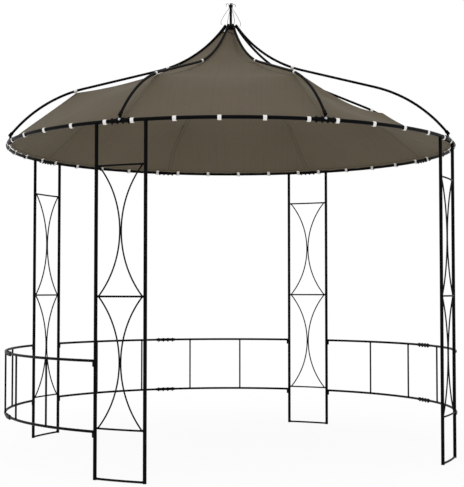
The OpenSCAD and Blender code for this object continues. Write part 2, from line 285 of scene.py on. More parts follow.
def turned(name: str, outline: Sequence[tuple[float, float]], sides: int) -> Piece:
    """Shape a round or many-sided part on +Z by extruding a disc through an outline.

    Args:
        name: Name of the part.
        outline: (radius, height) steps from the base to the top, in metres.
        sides: Sides of the disc.

    Returns:
        A closed part that stands at the origin.
    """
    (radius, height), *steps = outline
    part = circle(name, sides, radius, (0, 0, height), upright=False)
    for next_radius, next_height in steps:
        rise = next_height - height
        bpy.ops.mesh.extrude_region_move(TRANSFORM_OT_translate={"value": (0, 0, rise)})
        ratio = next_radius / radius
        bpy.ops.transform.resize(value=(ratio, ratio, 1), center_override=(0, 0, next_height))
        radius, height = next_radius, next_height
    return face_outwards(part)


def spun(
    name: str, centre: Vector, radius: float, sides: int, start: float, sweep: float, steps: int
) -> Piece:
    """Sweep a round section about the Z axis.

    Args:
        name: Name of the part.
        centre: Middle of the section on the XZ plane, in metres.
        radius: Radius of the section.
        sides: Sides of the section.
        start: Angle where the sweep starts, in radians.
        sweep: Angle swept, in radians.
        steps: Steps of the sweep.

    Returns:
        An open-ended tube, or a ring after a full turn.
    """
    part = circle(name, sides, radius, centre, upright=True, turn=start)
    bpy.ops.mesh.spin(steps=steps, angle=sweep, center=(0, 0, 0), axis=(0, 0, -1))
    return face_outwards(part)


def along(direction: Vector) -> Matrix:
    """Turn +Z to point along a direction."""
    return direction.to_track_quat("Z", "Y").to_matrix().to_4x4()


def about_z(angle: float) -> Matrix:
    """Turn about the gazebo's axis by an angle in radians."""
    return Matrix.Rotation(angle, 4, "Z")


def shift(x: float, y: float, z: float) -> Matrix:
    """Move by x, y and z in metres."""
    return Matrix.Translation((x, y, z))


def eighths(first: float = 0, step: int = 1) -> list[Matrix]:
    """Return the turns to every eighth of the plan, or to every few, from a first."""
    return [about_z((k + first) * EIGHTH) for k in range(0, 8, step)]


def mm(*pairs: tuple[float, float]) -> list[tuple[float, float]]:
    """Turn pairs of millimetres to metres."""
    return [(a * MM, b * MM) for a, b in pairs]


def grid(
    rows: int, columns: int, round_rows: bool, round_columns: bool
) -> list[tuple[int, int, int, int]]:
    """Number the faces of a net of points that are counted row by row.

    Args:
        rows: Rows of points.
        columns: Points in a row.
        round_rows: Whether the last row meets the first.
        round_columns: Whether each row's end meets its start.

    Returns:
        The point numbers of each face.
    """
    return [
        (k * columns + j, k * columns + (j + 1) % columns,
         (k + 1) % rows * columns + (j + 1) % columns, (k + 1) % rows * columns + j)
        for k in range(rows if round_rows else rows - 1)
        for j in range(columns if round_columns else columns - 1)
    ]


def dress(obj: Piece, finish: Material, replaced: Iterable[str] = ()) -> Piece:
    """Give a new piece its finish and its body.

    Args:
        obj: The piece.
        finish: Material for all of it, unless it already wears some.
        replaced: CAD nodes that it stands for.

    Returns:
        The same piece.
    """
    if not obj.data.materials:
        obj.data.materials.append(finish)
    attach(obj, BODY)
    if replaced:
        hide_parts(*replaced)
    LOG.info("%s: %d faces", obj.name, len(obj.data.polygons))
    return obj


# ---------------------------------------------------------------- finishes


def linear(hex_code: str) -> tuple[float, float, float, float]:
    """Turn an sRGB hex colour to linear light.

    Args:
        hex_code: The colour with its #.

    Returns:
        Red, green, blue and full opacity.
    """
    channels = [int(hex_code[i:i + 2], 16) / 255 for i in (1, 3, 5)]
    red, green, blue = (
        c / 12.92 if c <= 0.04045 else ((c + 0.055) / 1.055) ** 2.4 for c in channels
    )
    return red, green, blue, 1.0


class Nodes:
    """The node tree of a material or a world, built one node at a time."""

    def __init__(self, owner: Material | bpy.types.World) -> None:
        """Open the owner's node tree.

        Args:
            owner: New material, with a Principled shader on its output, or new world.
        """
        self.owner = owner
        owner.use_nodes = True
        self.tree = owner.node_tree

    def add(self, kind: str, links: Links | None = None, **settings: object) -> bpy.types.Node:
        """Add a node with its settings and links.

        Args:
            kind: The node's type without its ShaderNode prefix.
            links: Input names or numbers, each with a value or with a socket to link from.
            settings: Properties of the node.

        Returns:
            The node.
        """
        node = self.tree.nodes.new(f"ShaderNode{kind}")
        for name, value in settings.items():
            setattr(node, name, value)
        self.feed(node, links or {})
        return node

    def feed(self, node: bpy.types.Node, links: Links) -> None:
        """Set or link a node's inputs.

        Args:
            node: The node.
            links: Input names or numbers, each with a value or with a socket to link from.
        """
        for name, value in links.items():
            if isinstance(value, Socket):
                self.tree.links.new(value, node.inputs[name])
            else:
                node.inputs[name].default_value = value

    def finish(self, **inputs: object) -> Material:
        """Feed a material's shader.

        Args:
            inputs: The shader's inputs, with _ for each space in their names.

        Returns:
            The material.
        """
        links = {name.replace("_", " "): value for name, value in inputs.items()}
        self.feed(self.tree.nodes["Principled BSDF"], links)
        return self.owner

    def seen(self) -> Socket:
        """Sort the rays that look from those that only light.

        Returns:
            1 for camera, glossy and transmission rays, and 0 for the rest.
        """
        rays = self.add("LightPath").outputs
        glossy = self.calc("MAXIMUM", rays["Is Camera Ray"], rays["Is Glossy Ray"])
        return self.calc("MAXIMUM", glossy, rays["Is Transmission Ray"])

    def cloth_map(self) -> Socket:
        """Return the piece's own cloth map."""
        return self.add("UVMap", uv_map="cloth").outputs["UV"]

    def upward(self) -> Socket:
        """Return how far the face looks up, from -1 to 1."""
        normal = self.add("NewGeometry").outputs["Normal"]
        return self.add("SeparateXYZ", {0: normal}).outputs["Z"]

    def noise(self, size: float, detail: float = 2.0) -> Socket:
        """Return soft noise with patches of a size in metres, in the piece's own space."""
        place = self.add("TexCoord").outputs["Object"]
        links = {"Vector": place, "Scale": 1 / size, "Detail": detail}
        return self.add("TexNoise", links).outputs["Fac"]

    def wave(self, pitch: float, axis: str, **links: float) -> Socket:
        """Return ribs at a pitch in metres along an axis of the cloth map."""
        links |= {"Vector": self.cloth_map(), "Scale": math.tau / pitch / 20}
        return self.add("TexWave", links, bands_direction=axis).outputs["Fac"]

    def calc(self, operation: str, *values: Value) -> Socket:
        """Return the result of a sum on values or sockets."""
        return self.add("Math", dict(enumerate(values)), operation=operation).outputs[0]

    def mix(self, share: Value, first: object, second: object, **settings: str) -> Socket:
        """Mix two colours, each a hex code or a socket.

        Args:
            share: Share of the second colour.
            first: First colour.
            second: Second colour.
            settings: Properties of the node.

        Returns:
            The mixed colour.
        """
        first, second = (linear(c) if isinstance(c, str) else c for c in (first, second))
        links = {0: share, 6: first, 7: second}
        return self.add("Mix", links, data_type="RGBA", **settings).outputs[2]

    def remap(
        self, value: Value, low: float, high: float, start: float = 0.0, end: float = 1.0
    ) -> Socket:
        """Map a value between start and end to one between low and high."""
        links = {"Value": value, "From Min": start, "From Max": end, "To Min": low, "To Max": high}
        return self.add("MapRange", links).outputs["Result"]

    def bump(self, height: Value, strength: float, depth: float) -> Socket:
        """Return a normal that a height tilts, with a depth in metres."""
        links = {"Height": height, "Strength": strength, "Distance": depth}
        return self.add("Bump", links).outputs["Normal"]


@dataclass(frozen=True)
class PowderCoat:
    """Satin polyester powder coat on steel: near black, with a fine orange peel that
    breaks up the thin highlight along each tube, and a trace of dust on upward faces."""

    name: str = "satin_powder_coat"
    colour: str = "#040405"
    thin_colour: str = "#080809"
    dust_colour: str = "#191817"
    dust: float = 0.08
    dust_from: float = 0.55
    roughness: tuple[float, float] = (0.35, 0.47)
    gloss: float = 0.04
    relief: tuple[float, float] = (0.12, 0.3 * MM)
    peel: float = 3.0 * MM
    mottle: float = 45.0 * MM

    def build(self) -> Material:
        """Build the material.

        Returns:
            The finished material.
        """
        nodes = Nodes(bpy.data.materials.new(self.name))
        mottle = nodes.noise(self.mottle, detail=4.0)
        coat = nodes.mix(mottle, self.colour, self.thin_colour)
        lying = nodes.remap(nodes.upward(), 0.0, self.dust, self.dust_from)
        dusty = nodes.mix(nodes.calc("MULTIPLY", lying, mottle), coat, self.dust_colour)
        # Real peel is about 1 mm wide, drawn three times coarser so that it shows.
        peel = nodes.noise(self.peel)
        return nodes.finish(
            Base_Color=dusty, Roughness=nodes.remap(peel, *self.roughness),
            Normal=nodes.bump(peel, *self.relief), Specular_IOR_Level=self.gloss,
        )


@dataclass(frozen=True)
class ZincPlate:
    """Bright zinc-plated bolt heads: pale grey metal with a faint spangle."""

    name: str = "bright_zinc_plate"
    colour: str = "#c4c6c8"
    dull_colour: str = "#9b9ea1"
    roughness: tuple[float, float] = (0.32, 0.47)
    spangle: float = 2.5 * MM

    def build(self) -> Material:
        """Build the material.

        Returns:
            The finished material.
        """
        nodes = Nodes(bpy.data.materials.new(self.name))
        place = nodes.add("TexCoord").outputs["Object"]
        voronoi = nodes.add("TexVoronoi", {"Vector": place, "Scale": 1 / self.spangle})
        cells = voronoi.outputs["Distance"]
        return nodes.finish(
            Base_Color=nodes.mix(cells, self.colour, self.dull_colour),
            Roughness=nodes.remap(cells, *self.roughness), Metallic=1.0,
        )


@dataclass(frozen=True)
class WovenPolyester:
    """Plain-woven polyester with a matt water-repellent coat: taupe, with crossing threads,
    soft mottling where the cloth took the dye unevenly, and a little sheen at low angles."""

    name: str = "taupe_woven_polyester"
    colour: str = "#615849"
    shade_colour: str = "#5a5244"
    underside_painted_fill_colour: str = "#645b4b"
    roughness: float = 0.9
    gloss: float = 0.1
    sheen: float = 0.03
    relief: tuple[float, float] = (0.25, 0.4 * MM)
    weave_shade: tuple[float, float] = (0.97, 1.02)
    wander: float = 0.3
    thread: float = 2.4 * MM
    mottle: float = 180.0 * MM
    slub: float = 9.0 * MM
    slub_stretch: float = 0.08
    slub_share: float = 0.16

    def build(self) -> Material:
        """Build the material.

        Returns:
            The finished material.
        """
        nodes = Nodes(bpy.data.materials.new(self.name))
        # Threads are 0.5 mm apart in the real cloth and are drawn coarser so that they show.
        warp, weft = (
            nodes.wave(self.thread, axis, Distortion=self.wander, Detail=1.0) for axis in "XY"
        )
        weave = nodes.calc("MULTIPLY", warp, weft)
        dye = nodes.mix(nodes.noise(self.mottle, detail=5.0), self.colour, self.shade_colour)
        # The underside takes its own slightly lighter colour: painted fill light where the lamps
        # reach it less.
        below = nodes.calc("LESS_THAN", nodes.upward(), 0.0)
        faced = nodes.mix(below, dye, self.underside_painted_fill_colour)
        # A slub is a thicker stretch of thread, long and narrow.
        stretched = nodes.add(
            "Mapping", {"Vector": nodes.cloth_map(), "Scale": (1.0, self.slub_stretch, 1.0)}
        ).outputs[0]
        slub = nodes.add("TexNoise", {"Vector": stretched, "Scale": 1 / self.slub, "Detail": 3.0})
        thread = nodes.mix(self.slub_share, faced, slub.outputs["Color"], blend_type="SOFT_LIGHT")
        crossed = nodes.remap(weave, *self.weave_shade)
        shaded = nodes.add("VectorMath", {0: thread, 1: crossed}, operation="MULTIPLY").outputs[0]
        return nodes.finish(
            Base_Color=shaded, Normal=nodes.bump(weave, *self.relief), Roughness=self.roughness,
            Sheen_Weight=self.sheen, Specular_IOR_Level=self.gloss,
        )


@dataclass(frozen=True)
class StitchedTape:
    """Folded polyester tape with two rows of lock stitch: a denser strip of the canopy's own
    cloth, a shade darker, with thread dashes near both edges. Inside, its edges carry painted
    shade of the fold, darker than its middle, on an underside painted a shade lighter as
    painted fill light."""

    name: str = "stitched_polyester_tape"
    colour: str = "#605748"
    fade_colour: str = "#5b5345"
    underside_painted_fill_colour: str = "#615848"
    painted_fold_shade_colour: str = "#453e32"
    thread_colour: str = "#645b4c"
    roughness: float = 0.85
    gloss: float = 0.2
    relief: tuple[float, float] = (0.5, 0.4 * MM)
    fade: float = 1.0 / 14
    stitch: float = 7.0 * MM
    stitch_share: float = 0.68
    row: float = 0.17
    row_half: float = 0.045
    fold_shade_share: float = 0.13

    def build(self) -> Material:
        """Build the material.

        Returns:
            The finished material.
        """
        nodes = Nodes(bpy.data.materials.new(self.name))
        axes = nodes.add("SeparateXYZ", {0: nodes.cloth_map()})
        # Distance from the tape's middle line, 0 to 0.5, is the same for both stitch rows.
        off = nodes.calc("ABSOLUTE", nodes.calc("SUBTRACT", axes.outputs["X"], 0.5))
        on_row = nodes.calc("COMPARE", off, 0.5 - self.row, self.row_half)
        # A stitch is 3 mm long in the real seam and is drawn coarser so that it shows.
        phase = nodes.calc("FRACT", nodes.calc("DIVIDE", axes.outputs["Y"], self.stitch))
        dash = nodes.calc("MULTIPLY", on_row, nodes.calc("LESS_THAN", phase, self.stitch_share))
        cloth = nodes.mix(nodes.noise(self.fade), self.colour, self.fade_colour)
        # Inside, the edges are painted darker as painted shade of the fold, and the underside a
        # shade lighter as painted fill light.
        fold_shade_mask = nodes.calc("GREATER_THAN", off, 0.5 - self.fold_shade_share)
        underside_with_fold_shade = nodes.mix(fold_shade_mask, self.underside_painted_fill_colour, self.painted_fold_shade_colour)
        faced = nodes.mix(nodes.calc("LESS_THAN", nodes.upward(), 0.0), cloth, underside_with_fold_shade)
        return nodes.finish(
            Base_Color=nodes.mix(dash, faced, self.thread_colour),
            Normal=nodes.bump(dash, *self.relief), Roughness=self.roughness,
            Specular_IOR_Level=self.gloss,
        )


@dataclass(frozen=True)
class NylonWebbing:
    """Ribbed nylon webbing, off-white: cross ribs catch the light, and dirt greys the grooves."""

    name: str = "off_white_nylon_webbing"
    colour: str = "#f1efec"
    groove_colour: str = "#c9c4c4"
    roughness: float = 0.8
    gloss: float = 0.3
    relief: tuple[float, float] = (0.4, 0.3 * MM)
    rib: float = 3.0 * MM
    soil: float = 1.0 / 60

    def build(self) -> Material:
        """Build the material.

        Returns:
            The finished material.
        """
        nodes = Nodes(bpy.data.materials.new(self.name))
        # Ribs are 1.2 mm apart in real webbing and are drawn coarser so that they show.
        ribs = nodes.wave(self.rib, "Y")
        groove = nodes.calc("MULTIPLY", ribs, nodes.noise(self.soil))
        return nodes.finish(
            Base_Color=nodes.mix(groove, self.colour, self.groove_colour),
            Normal=nodes.bump(ribs, *self.relief), Roughness=self.roughness,
            Specular_IOR_Level=self.gloss,
        )


@dataclass(frozen=True)
class BlackNylon:
    """Injection-moulded black nylon, as on caps and plugs: matt, with a fine spark texture."""

    name: str = "moulded_black_nylon"
    colour: str = "#0e0e0f"
    worn_colour: str = "#1d1d1e"
    roughness: float = 0.55
    gloss: float = 0.35
    relief: tuple[float, float] = (0.2, 0.2 * MM)
    grain: float = 1.2 * MM

    def build(self) -> Material:
        """Build the material.

        Returns:
            The finished material.
        """
        nodes = Nodes(bpy.data.materials.new(self.name))
        grain = nodes.noise(self.grain, detail=3.0)
        return nodes.finish(
            Base_Color=nodes.mix(grain, self.colour, self.worn_colour),
            Normal=nodes.bump(grain, *self.relief), Roughness=self.roughness,
            Specular_IOR_Level=self.gloss,
        )


@dataclass
class Finishes:
    """Every finish, built once."""

    coat: Material = field(default_factory=PowderCoat().build)
    zinc: Material = field(default_factory=ZincPlate().build)
    cloth: Material = field(default_factory=WovenPolyester().build)
    tape: Material = field(default_factory=StitchedTape().build)
    webbing: Material = field(default_factory=NylonWebbing().build)
    nylon: Material = field(default_factory=BlackNylon().build)


# ---------------------------------------------------------------- shared lines of the frame


@dataclass
class FrameLines:
    """The lines that the CAD frame is built on, read from its nodes' boxes or worked out
    from the same sizes as the CAD, in metres."""

    seat: float = 0.3 * MM
    hub_d: float = 66 * MM
    hub_h: float = 27 * MM
    rafter_r: float = 8 * MM
    foot_slope: float = math.radians(50)
    crown_slope: float = math.radians(55)
    shoulder_r: float = 935 * MM
    neck_r: float = 907 * MM
    foot_out: float = 6 * MM
    foot_up: float = 30 * MM
    foot_l: float = 50 * MM
    socket_l: float = 26 * MM

    def __post_init__(self) -> None:
        """Work out the ring and the rafters' centre line."""
        low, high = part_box("eave_rail_1")
        self.tube_r = (high[2] - low[2]) / 2
        self.eave_h = (high[2] + low[2]) / 2
        self.frame_r = high[0] - self.tube_r
        self.crown_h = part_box("crown_hub")[1][2]
        self.foot = Vector((self.frame_r + self.foot_out, self.eave_h + self.foot_up))
        rise = Vector((-math.cos(self.foot_slope), math.sin(self.foot_slope)))
        bend = self.foot + self.foot_l * rise
        self.low_c = bend - self.shoulder_r * self.lean(self.foot_slope)
        crown_x = self.hub_d / 2 + self.seat + self.rafter_r * math.sin(self.crown_slope)
        self.crown = Vector((crown_x, self.crown_h))
        self.high_c = self.crown + self.neck_r * self.lean(self.crown_slope)
        centres = self.high_c - self.low_c
        self.slope = math.atan2(centres.x, centres.y) + math.acos(
            (self.shoulder_r + self.neck_r) / centres.length
        )
        self.knee = self.low_c + self.shoulder_r * self.lean(self.slope)
        self.throat = self.high_c - self.neck_r * self.lean(self.slope)

    @staticmethod
    def lean(slope: float) -> Vector:
        """Return the upright side of a line of that slope, as (outwards, up)."""
        return Vector((math.sin(slope), math.cos(slope)))

    def slope_at(self, radius: float) -> float:
        """Find a rafter's slope.

        Args:
            radius: Distance from the axis.

        Returns:
            The slope in radians.
        """
        if radius > self.knee.x:
            return math.asin(min(1.0, (radius - self.low_c.x) / self.shoulder_r))
        if radius > self.throat.x:
            return self.slope
        return math.asin((self.high_c.x - radius) / self.neck_r)

    def rafter_at(self, radius: float) -> Vector:
        """Find a point on a rafter's centre line.

        Args:
            radius: Distance from the axis.

        Returns:
            The point as (distance, height).
        """
        slope = self.slope_at(radius)
        if radius > self.knee.x:
            return Vector((radius, self.low_c.y + self.shoulder_r * math.cos(slope)))
        if radius > self.throat.x:
            return Vector((radius, self.knee.y + (self.knee.x - radius) * math.tan(self.slope)))
        return Vector((radius, self.high_c.y - self.neck_r * math.cos(slope)))


# ---------------------------------------------------------------- fasteners and welds


@dataclass
class Hardware:
    """Small parts that repeat: sleeves, bolt heads, cap nuts and weld beads."""

    finishes: Finishes
    nut_r: float = 5.6 * MM
    nut_h: float = 3.4 * MM
    dome_h: float = 2.8 * MM
    sunk: float = 0.5 * MM
    sleeve_bolts: int = 4
    sleeve_wall: float = 2.5 * MM
    rim_angle: float = math.radians(50)
    bead_out: float = 0.2
    bead_noise: float = 0.22
    bead_smooth: float = 60
    saddle: float = 0.96

    def cap_nut(self) -> Piece:
        """Model a hexagonal cap nut with its washer, base at the origin and dome on +Z.

        Returns:
            The nut without a finish.
        """
        washer = turned("washer", mm((7.4, 0), (7.6, 0.3), (7.3, 1.2)), 20)
        hexagon = turned("hexagon", [
            (self.nut_r * 0.94, 1.1 * MM), (self.nut_r, 1.5 * MM),
            (self.nut_r, self.nut_h), (self.nut_r * 0.9, self.nut_h + 0.6 * MM),
        ], 6)
        top = self.nut_h + 0.4 * MM
        dome = turned("dome", [
            (self.nut_r * 0.84, top), (self.nut_r * 0.82, top + 1.2 * MM),
            (self.nut_r * 0.7, top + 0.62 * self.dome_h),
            (self.nut_r * 0.46, top + 0.88 * self.dome_h), (self.nut_r * 0.16, top + self.dome_h),
        ], 16)
        return smooth(join("cap_nut", [washer, hexagon, dome]))

    def button_head(self) -> Piece:
        """Model a button-head bolt with a hexagonal socket, head on +Z, without a finish."""
        dome = mm((6.0, 0), (6.2, 0.5), (5.6, 2.2), (4.3, 3.3), (2.6, 3.9))
        return smooth(turned("button_head", dome + mm((2.3, 3.9), (2.1, 2.2)), 18))

    def zinc_dome(self) -> Piece:
        """Model a zinc-plated round head on a thin washer, head on +Z.

        Returns:
            The bolt head in bright zinc.
        """
        head = smooth(turned("zinc_dome", mm(
            (8.2, 0), (8.4, 0.8), (8.0, 1.5), (6.9, 1.6),
            (6.7, 3.2), (5.4, 5.0), (3.2, 6.1), (0.8, 6.4),
        ), 20))
        head.data.materials.append(self.finishes.zinc)
        return head

    def bolted_sleeve(
        self, spot: Vector, radius: float, length: float, pitch: float, rim: float, sides: int
    ) -> list[Piece]:
        """Sweep a sleeve round a tube that follows the ring, and clamp it with bolts.

        Args:
            spot: Middle of the sleeve on the XZ plane.
            radius: Outer radius of the sleeve.
            length: Length along the tube.
            pitch: Distance from bolt to bolt.
            rim: Width of its rounded rims.
            sides: Sides of its section.

        Returns:
            The sleeve, then its nuts and heads.
        """
        half = length / 2 / spot.x
        tube = spun("sleeve", spot, radius, sides, -half, 2 * half, steps=14)
        apply_modifier(tube, "SOLIDIFY", thickness=self.sleeve_wall, offset=-1.0)
        apply_modifier(
            tube, "BEVEL", width=rim, segments=2, limit_method="ANGLE", angle_limit=self.rim_angle
        )
        count = self.sleeve_bolts
        angles = [(i - (count - 1) / 2) * pitch / spot.x for i in range(count)]
        seats = [about_z(angle) @ shift(*spot) for angle in angles]
        under = shift(0, 0, self.sunk - radius) @ Matrix.Rotation(math.pi, 4, "X")
        over = shift(0, 0, radius - self.sunk)
        nuts = spread(self.cap_nut(), [seat @ under for seat in seats])
        return [smooth(tube), *nuts, *spread(self.button_head(), [seat @ over for seat in seats])]

    def welds(
        self, bar_r: float, throat: float, seed: int, places: Iterable[Matrix], tube_r: float = 0.0
    ) -> list[Piece]:
        """Run a fillet weld round a bar at every place: an uneven rolled bead.

        Args:
            bar_r: Radius of the bar, which stands on +Z.
            throat: Radius of the bead's section.
            seed: Seed of the bead's unevenness.
            places: Where the beads go.
            tube_r: Radius of a tube along Y whose underside the bead follows, if any.

        Returns:
            The beads.
        """
        centre = Vector((bar_r + self.bead_out * throat, 0, 0))
        bead = spun("weld", centre, throat, 6, 0, math.tau, steps=22)
        edit(bead)
        bpy.ops.transform.vertex_random(offset=self.bead_noise * throat, seed=seed)
        smooth(face_outwards(bead), self.bead_smooth)
        if tube_r:
            for vertex in bead.data.vertices:
                across = min(abs(vertex.co.x), tube_r * self.saddle)
                vertex.co.z += tube_r - math.sqrt(tube_r ** 2 - across ** 2)
        return spread(bead, places)


# ---------------------------------------------------------------- steel frame


@dataclass
class SteelFrame:
    """The CAD tubes and bars that keep their own meshes and only take the coat."""

    finishes: Finishes

    def build(self) -> None:
        """Give every carried-over node its finish."""
        by_slot = {Slot.CANOPY.value: self.finishes.cloth, Slot.TIES.value: self.finishes.webbing}
        slots = {part["node"]: part["material_slot"] for part in frame["record"]["subparts"]}
        for name, node in frame["nodes"].items():
            node.data.materials.clear()
            node.data.materials.append(by_slot.get(slots[name], self.finishes.coat))
        LOG.info("steel frame: %d nodes coated", len(frame["nodes"]))


@dataclass
class FramePart:
    """What the builders of the frame's details share."""

    lines: FrameLines
    hardware: Hardware
    finishes: Finishes

    def coat(self, piece: Piece, name: str, *replaced: str) -> None:
        """Name a piece and give it the frame's coat, with the CAD nodes that it stands for."""
        piece.name = name
        dress(piece, self.finishes.coat, replaced)


@dataclass
class EaveCouplers(FramePart):
    """Eight clamped sleeves on the eave ring, each with a slanted socket for a rafter."""

    sleeve_l: float = 120 * MM
    socket_wall: float = 2.5 * MM
    bolt_pitch: float = 35 * MM
    rim: float = 0.7 * MM
    dome_lean: float = math.radians(28)
    dome_sink: float = 0.8 * MM
    bore_floor: float = 0.2
    bead_r: float = 0.56
    bead_drop: float = 3 * MM
    throat: float = 1.6 * MM

    def __post_init__(self) -> None:
        """Work out the sleeve and where the boss stands."""
        lines = self.lines
        self.sleeve_r = lines.tube_r + lines.seat + self.hardware.sleeve_wall
        self.spot = Vector((lines.frame_r, 0, lines.eave_h))
        self.boss_x = lines.frame_r + lines.foot_out / 4

    def socket(self) -> Piece:
        """Model the socket: a thick cup on the rafter's foot line, bored from its mouth.

        Returns:
            The socket of the coupler on +X.
        """
        lines, rim, wall = self.lines, self.rim, self.socket_wall
        outer = lines.rafter_r + lines.seat + wall
        bore = lines.rafter_r + lines.seat
        depth = lines.socket_l
        cup = smooth(turned("socket", [
            (outer - rim, -wall), (outer, rim - wall), (outer, depth - rim), (outer - rim, depth),
            (bore + rim, depth), (bore, depth - rim), (bore, self.bore_floor * depth),
        ], 40))
        up = Vector((-math.cos(lines.foot_slope), 0, math.sin(lines.foot_slope)))
        return set_in_place(cup, shift(lines.foot.x, 0, lines.foot.y) @ along(up))

    def boss(self) -> Piece:
        """Model the short boss between sleeve and socket, flared at both ends.

        Returns:
            The boss of the coupler on +X.
        """
        radius, top = self.sleeve_r, self.lines.foot_up
        foot = radius * 0.9
        boss = smooth(turned("boss", [
            (radius * 0.62, foot - 6 * MM), (radius * 0.62, foot - 1 * MM),
            (radius * 0.52, foot + 2 * MM), (radius * 0.5, top - 8 * MM),
            (radius * 0.58, top - 2 * MM),
        ], 28))
        return set_in_place(boss, shift(self.boss_x, 0, self.lines.eave_h))

    def build(self) -> None:
        """Model one coupler and copy it to all eight corners."""
        lines, radius = self.lines, self.sleeve_r
        sleeve, *bolts = self.hardware.bolted_sleeve(
            self.spot, radius, self.sleeve_l, self.bolt_pitch, self.rim, 40
        )
        out = Vector((math.cos(self.dome_lean), 0, math.sin(self.dome_lean)))
        seat = shift(*(self.spot + out * (radius - self.dome_sink))) @ along(out)
        dome = spread(self.hardware.zinc_dome(), [seat])
        # The bead runs where the boss meets the socket.
        joint = shift(self.boss_x, 0, lines.eave_h + lines.foot_up - self.bead_drop)
        bead = self.hardware.welds(radius * self.bead_r, self.throat, 1, [joint])
        parts = [sleeve, self.socket(), self.boss(), *bolts, *dome, *bead]
        for part in parts:
            if not part.data.materials:
                part.data.materials.append(self.finishes.coat)
        for k, piece in enumerate(spread(join("coupler_pattern", parts), eighths()), 1):
            self.coat(piece, f"clamped_coupler_{k}", f"eave_coupler_{k}")


@dataclass
class LegDetails(FramePart):
    """Weld beads where the bars of the four legs meet the posts, where the bent rods meet the
    bars, and where the posts meet the ring."""

    leg_w: float = 316 * MM
    post_r: float = 10.5 * MM
    bar_heights: tuple[float, ...] = (286 * MM, 1020 * MM, 1752 * MM)
    bar_r: float = 5.5 * MM
    foot_bar_r: float = 6.5 * MM
    foot_bar_h: float = 7.5 * MM
    rod_r: float = 4.5 * MM
    bar_throat: float = 1.7 * MM
    rod_throat: float = 1.4 * MM
    top_throat: float = 1.8 * MM
    bar_out: float = 0.5 * MM
    foot_up: float = 1.2 * MM
    rod_out: float = 1 * MM
    rod_in: float = 1.5
    ring_gap: float = 0.5 * MM

    def __post_init__(self) -> None:
        """Work out where the posts stand, for the leg on +X."""
        self.half = self.leg_w / 2
        self.post_x = math.sqrt(self.lines.frame_r ** 2 - self.half ** 2)

    def bar_welds(self) -> list[Piece]:
        """Set a bead round each end of each cross bar.

        Returns:
            The beads of the leg on +X.
        """
        bars, feet = [], []
        for side in (-1, 1):
            turn = along(Vector((0, side, 0)))
            spot = (self.post_x + self.bar_out, side * (self.half - self.post_r))
            bars += [shift(*spot, height) @ turn for height in self.bar_heights]
            feet.append(shift(*spot, self.foot_bar_h + self.foot_up) @ turn)
        welds = self.hardware.welds
        return welds(self.bar_r, self.bar_throat, 3, bars) + welds(
            self.foot_bar_r, self.bar_throat, 4, feet
        )

    def rod_welds(self) -> list[Piece]:
        """Set short beads where the bent rods meet the bars.

        Returns:
            The beads of the leg on +X.
        """
        end_y = self.half - self.post_r - self.rod_in * self.rod_r
        spots = [
            shift(self.post_x + self.rod_out, side * end_y, height)
            for bottom, top in zip(self.bar_heights, self.bar_heights[1:])
            for side in (-1, 1)
            for height in (bottom + self.bar_r, top - self.bar_r)
        ]
        return self.hardware.welds(self.rod_r, self.rod_throat, 5, spots)

    def top_welds(self) -> list[Piece]:
        """Set a saddle-shaped bead where each post meets the underside of the eave ring.

        Returns:
            The beads of the leg on +X.
        """
        tube_r = self.lines.tube_r
        height = self.lines.eave_h - tube_r - self.ring_gap
        spots = [shift(self.post_x, side * self.half, height) for side in (-1, 1)]
        return self.hardware.welds(self.post_r, self.top_throat, 6, spots, tube_r)

    def build(self) -> None:
        """Copy the beads of one leg to all four."""
        master = join("leg_weld_pattern", [*self.bar_welds(), *self.rod_welds(), *self.top_welds()])
        names = ("back_right", "back_left", "front_left", "front_right")
        for name, piece in zip(names, spread(master, eighths(1, 2))):
            self.coat(piece, f"leg_welds_{name}")


@dataclass
class FenceDetails(FramePart):
    """Bolted sleeves at the middle of each fence, and the welds of its upright bars."""

    rail_r: float = 8 * MM
    rail_heights: tuple[float, ...] = (266 * MM, 660 * MM)
    sleeve_l: float = 150 * MM
    bolt_pitch: float = 38 * MM
    rim: float = 0.6 * MM
    bar_r: float = 6 * MM
    bars: int = 4
    leg_w: float = 316 * MM
    throat: float = 1.5 * MM

    def bar_welds(self) -> list[Piece]:
        """Set a bead at both ends of each upright bar.

        Returns:
            The beads of the fence on +X.
        """
        post_a = math.asin(self.leg_w / 2 / self.lines.frame_r)
        bay = (math.pi / 2 - 2 * post_a) / (self.bars + 1)
        low, high = self.rail_heights
        spots = [
            about_z((i - (self.bars - 1) / 2) * bay) @ shift(self.lines.frame_r, 0, height)
            for i in range(self.bars)
            for height in (low + self.rail_r, high - self.rail_r)
        ]
        return self.hardware.welds(self.bar_r, self.throat, 7, spots)

    def build(self) -> None:
        """Copy one fence's sleeves and welds to all three sides."""
        radius = self.rail_r + self.lines.seat + self.hardware.sleeve_wall
        sleeves = []
        for height in self.rail_heights:
            spot = Vector((self.lines.frame_r, 0, height))
            sleeves += self.hardware.bolted_sleeve(
                spot, radius, self.sleeve_l, self.bolt_pitch, self.rim, 32
            )
        turns = eighths(0, 2)[:3]
        sets = spread(join("rail_sleeve_pattern", sleeves), turns)
        beads = spread(join("bar_weld_pattern", self.bar_welds()), turns)
        for side, piece in zip(("right", "back", "left"), beads):
            self.coat(piece, f"fence_welds_{side}")
        dress(join("bolted_rail_sleeves", sets), self.finishes.coat, ["fence_couplers"])


